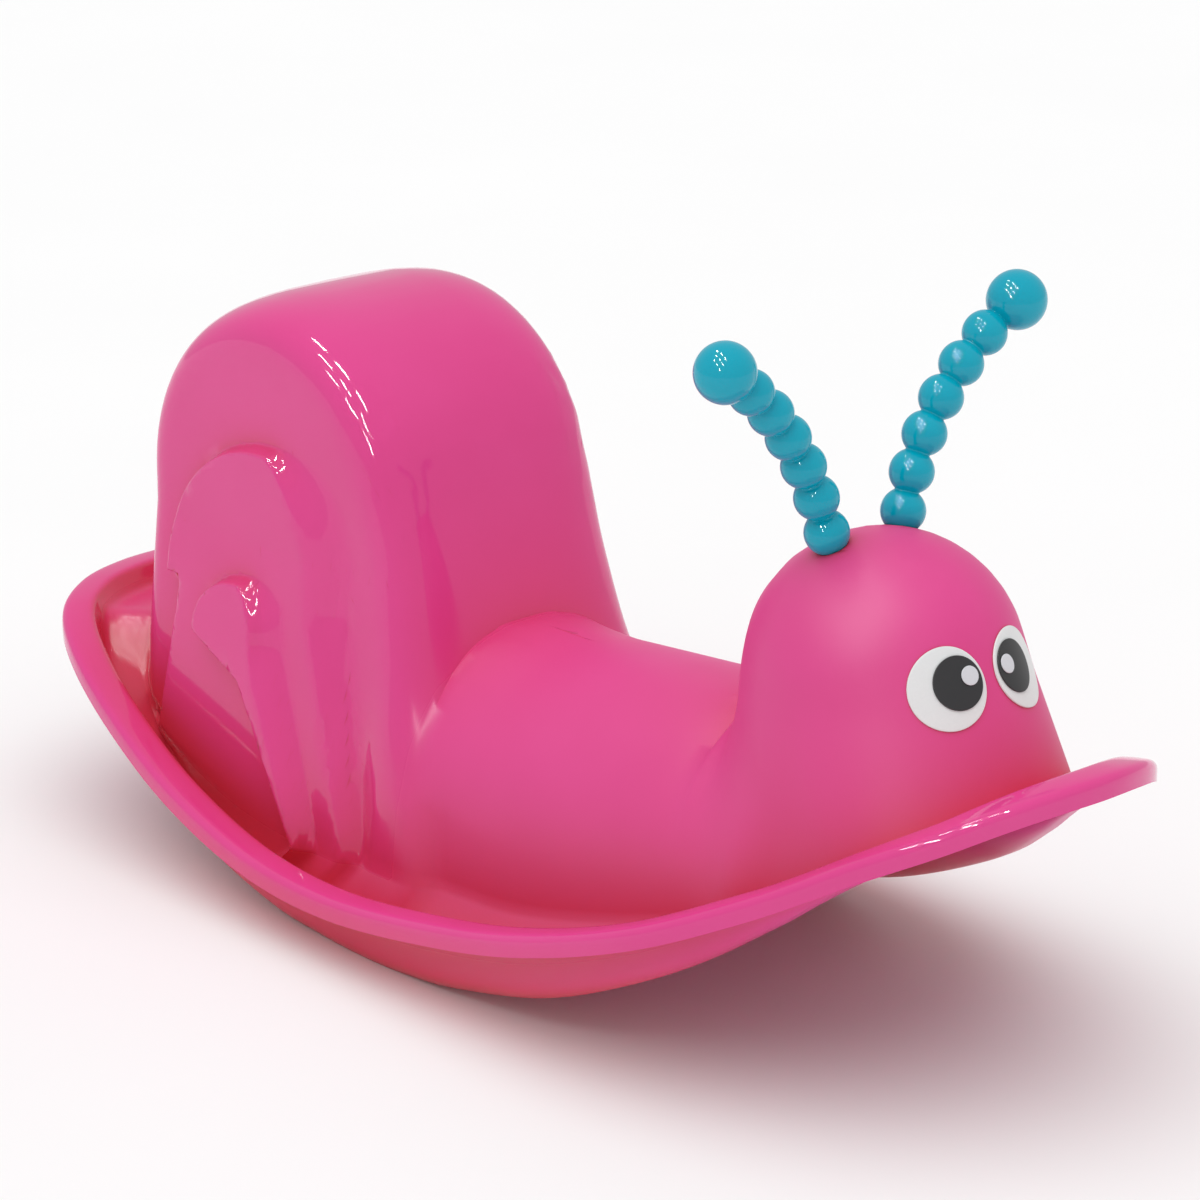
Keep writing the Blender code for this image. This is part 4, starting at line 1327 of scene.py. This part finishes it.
EYE_FINISHES = {
    "white": eye_finish("eye_white_vinyl", "#E6E8E8", (0.32, 0.42)),
    "pupil": eye_finish("eye_black_vinyl", "#2C2C2E", (0.30, 0.40)),
    "glint": eye_finish("eye_grey_vinyl", "#D8DADF", (0.32, 0.42)),
}
print("finishes:", [finish.name for finish in EYE_FINISHES.values()])

# %% [markdown]
# ## Eyes
# Each eye is three thin discs on top of each other, glued on the dome, so every disc is bent to the head.
# Points of a flat disc are moved along one direction until they touch the head's own rule, and the edge
# gets a small round, which catches a line of light that a sharp cut edge would not.

# %% Eyes
EYE_CENTRE = Vector((0.3132, 0.0256, 0.2269))
EYE_NORMAL = Vector((0.847, 0.320, 0.420)).normalized()

# Discs from the bottom up: layer, radius, thickness, place across and up from the eye's centre
EYE_LAYERS = [
    ("white", 0.0224, 0.0008, (0.0000, 0.0000)),
    ("pupil", 0.0146, 0.0006, (0.0056, 0.0023)),
    ("glint", 0.0052, 0.0005, (0.0126, 0.0055)),
]
DISC_SIDES = 96
DISC_RINGS = 14
DISC_MIDDLE = 0.02
EDGE_SHARE = 0.45
EDGE_DEGREES = (0, 30, 60, 90)
DISC_CREASE = math.radians(60)

# The head is looked for within this distance, in this many halvings
HEAD_REACH = 0.02
HALVINGS = 30


def on_head(points):
    """Move points along the eye's direction onto the head."""
    normal = np.array(EYE_NORMAL)
    low = np.full(len(points), -HEAD_REACH)
    high = np.full(len(points), HEAD_REACH)
    for _ in range(HALVINGS):
        middle = (low + high) / 2
        tried = points + normal * middle[:, None]
        outside = np.abs(tried[:, 1]) > half_width(tried[:, 0], tried[:, 2])
        high = np.where(outside, middle, high)
        low = np.where(outside, low, middle)
    return points + normal * low[:, None]


def disc_rows(radius, thickness):
    """Section of a disc from the middle of its back to the middle of its front: share of radius, height."""
    round_edge = EDGE_SHARE * thickness
    shares = np.linspace(DISC_MIDDLE, 1, DISC_RINGS)
    rows = [(share, 0) for share in shares]
    for turn in np.radians(EDGE_DEGREES):
        inset = round_edge * (1 - math.cos(turn)) / radius
        rows.append((1 - inset, thickness - round_edge * (1 - math.sin(turn))))
    return rows + [(share, thickness) for share in shares[-2::-1]]


def eye_disc(radius, thickness, place, lift):
    """A thin disc bent to the head, its back a set distance off the head and its front edge rounded."""
    normal = np.array(EYE_NORMAL)
    across = np.cross(normal, (0, 0, 1))
    across /= np.linalg.norm(across)
    up = np.cross(across, normal)
    centre = np.array(EYE_CENTRE) + across * place[0] + up * place[1]
    turns = np.arange(DISC_SIDES) * 2 * math.pi / DISC_SIDES
    circle = np.cos(turns)[:, None] * across - np.sin(turns)[:, None] * up
    rings = []
    for share, height in disc_rows(radius, thickness):
        rings.append(on_head(centre + circle * radius * share) + normal * (lift + height))
    return skin(rings)


def new_piece(name, verts, faces, material):
    """A smooth-shaded piece of the toy."""
    piece = new_mesh_object(name, verts, faces, material)
    piece.data.shade_smooth()
    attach(piece, "root")
    return piece


def build_eyes():
    """Three discs for each eye, one above the other."""
    lift = GAP
    for layer, radius, thickness, place in EYE_LAYERS:
        verts, faces = eye_disc(radius, thickness, place, lift)
        lift += thickness + GAP
        for side, parts in (("left", (verts, faces)), ("right", mirrored(verts, faces))):
            disc = new_piece(f"fine_eye_{layer}_{side}", *parts, EYE_FINISHES[layer])
            disc.data.set_sharp_from_angle(angle=DISC_CREASE)
            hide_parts(f"eye_{layer}_{side}")
            print(disc.name, len(disc.data.polygons), "faces")


build_eyes()

# %% [markdown]
# ## Zinc-plated screws and washers
# The screws that hold the handles sit inside the head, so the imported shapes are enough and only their
# finish changes. Bright zinc plate is a thin crystalline coat: it mirrors softly, with small patches that
# shine a little more or less.

# %% Zinc-plated screws and washers
ZINC_DARK = "#C4C8CC"
ZINC_LIGHT = "#D6D9DC"
ZINC_ROUGHNESS = (0.22, 0.42)
SPANGLE_MM = 1.111


def bright_zinc():
    """The finish of the screws and washers."""
    material, tree, shader = new_material("bright_zinc_plate")
    place = add_node(tree, "ShaderNodeTexCoord").outputs["Object"]
    spangle = add_node(tree, "ShaderNodeTexVoronoi", {"Vector": place, "Scale": scale_for(SPANGLE_MM)})
    rough = add_node(tree, "ShaderNodeMapRange", between(spangle, ZINC_ROUGHNESS))
    tint = add_node(tree, "ShaderNodeValToRGB", {"Fac": spangle})
    for stop, colour in zip(tint.color_ramp.elements, (ZINC_DARK, ZINC_LIGHT)):
        stop.color = linear(colour)
    fill_sockets(tree, shader, {"Base Color": tint, "Roughness": rough, "Metallic": 1.0})
    return material


ZINC = bright_zinc()
for name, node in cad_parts.items():
    if "washer" in name or "screw" in name:
        node.material_slots[0].material = ZINC
        print(name, "in", ZINC.name)

# %% [markdown]
# ## Floor
# The photograph has a plain white ground. A pale matt floor gives the toy something to stand on and throws
# white light up at its underside.

# %% Pale floor
FLOOR_SIZE = 6.0
FLOOR_BOTTOM = -0.02
FLOOR_TOP = -0.0002
FLOOR_DARK = "#F6F6F6"
FLOOR_LIGHT = "#F9F9F9"
FLOOR_ROUGHNESS = 0.9
FLOOR_SPECULAR = 0.1
FLECK_MM = 333


def pale_floor():
    """A large matt floor just under the runners."""
    material, tree, shader = new_material("pale_matt_floor")
    place = add_node(tree, "ShaderNodeTexCoord").outputs["Object"]
    fleck = add_node(tree, "ShaderNodeTexNoise", patches(place, FLECK_MM, 2))
    tint = add_node(tree, "ShaderNodeValToRGB", {"Fac": fleck})
    for stop, colour in zip(tint.color_ramp.elements, (FLOOR_DARK, FLOOR_LIGHT)):
        stop.color = linear(colour)
    finish = {"Base Color": tint, "Roughness": FLOOR_ROUGHNESS, "Specular IOR Level": FLOOR_SPECULAR}
    fill_sockets(tree, shader, finish)
    low = (-FLOOR_SIZE, -FLOOR_SIZE, FLOOR_BOTTOM)
    verts, faces = box_skin(low, (FLOOR_SIZE, FLOOR_SIZE, FLOOR_TOP))
    new_mesh_object("studio_floor", verts, faces, material)


pale_floor()
print("floor top", FLOOR_TOP)

# %% [markdown]
# ## Light
# A white surround gives the even light of a studio, and a soft light from above models the round forms.
# Rows of thin lamps leave the short white dashes on the backrest's edge and on the beads. Where such a
# lamp must hang follows from the law of reflection: the camera's direction, mirrored in the edge's outward
# direction, points at the lamp.

# %% Light
SURROUND_COLOUR = (1.0, 1.0, 1.0, 1.0)
SURROUND = 0.62
CEILING_PLACE = (0.2, -0.6, 3.0)
CEILING_POWER = 1.42
CEILING_SPREAD = math.radians(80)
LAMP_DISTANCE = 2.6
LAMP_WIDTH = 0.055
LAMP_WATTS_PER_METRE = 16

# Outward direction of the edge where a lamp is mirrored, in degrees: one roll for each row, and a climb
# that starts at a value, grows by row and by lamp, and spans a dash
LAMP_ROLLS = (46, 54, 62)
LAMPS_PER_ROW = 3
CLIMB_START = 34
CLIMB_PER_ROW = 6
CLIMB_PER_LAMP = 12
HALF_DASH = 3.5


def add_lamp(name, data, place, target):
    """Hang a lamp at a place and point it at a target."""
    lamp = bpy.data.objects.new(name, data)
    bpy.context.scene.collection.objects.link(lamp)
    lamp.location = place
    lamp.rotation_euler = (Vector(target) - lamp.location).to_track_quat("-Z", "Y").to_euler()
    return lamp


def thin_lamp(name, start, end, target):
    """A tube lamp from start to end that faces a target."""
    middle = (start + end) / 2
    data = bpy.data.lights.new(name, "AREA")
    data.shape = "RECTANGLE"
    data.size = (end - start).length
    data.size_y = LAMP_WIDTH
    data.energy = LAMP_WATTS_PER_METRE * data.size
    lamp = add_lamp(name, data, middle, target)
    facing = (middle - target).normalized()
    along = (end - start) - facing * (end - start).dot(facing)
    along.normalize()
    lamp.rotation_euler = Matrix((along, facing.cross(along), facing)).transposed().to_euler()
    lamp.visible_diffuse = False


def mirrored_place(point, roll, climb):
    """Where a lamp hangs that the camera sees in an edge whose outward direction has these two angles."""
    roll = math.radians(roll)
    climb = math.radians(climb)
    normal = Vector((math.sin(roll) * math.cos(climb), -math.cos(roll), math.sin(roll) * math.sin(climb)))
    to_camera = (CAMERA.location - VIEW_TARGET).normalized()
    return point + (2 * normal.dot(to_camera) * normal - to_camera) * LAMP_DISTANCE


def lamp_rows():
    """Thin lamps that the rounded edge of the backrest mirrors as rows of short dashes."""
    edge = Vector((ARCH_CENTRE[0], -SHELL_HALF, ARCH_CENTRE[1]))
    for row, roll in enumerate(LAMP_ROLLS):
        for place in range(LAMPS_PER_ROW):
            climb = CLIMB_START + CLIMB_PER_ROW * row + CLIMB_PER_LAMP * place
            start = mirrored_place(edge, roll, climb - HALF_DASH)
            end = mirrored_place(edge, roll, climb + HALF_DASH)
            thin_lamp(f"thin_lamp_{row}_{place}", start, end, edge)


def studio():
    """The white surround, the soft light from above and the thin lamps."""
    world = bpy.data.worlds.new("white_studio")
    world.use_nodes = True
    surround = {"Color": SURROUND_COLOUR, "Strength": SURROUND}
    fill_sockets(world.node_tree, world.node_tree.nodes["Background"], surround)
    bpy.context.scene.world = world
    sky = bpy.data.lights.new("soft_ceiling", "SUN")
    sky.energy = CEILING_POWER
    sky.angle = CEILING_SPREAD
    ceiling = add_lamp("soft_ceiling", sky, CEILING_PLACE, (0, 0, 0))
    ceiling.visible_glossy = False
    lamp_rows()
    bpy.context.scene.view_settings.view_transform = "Standard"


studio()
print("lamps:", len(bpy.data.lights))
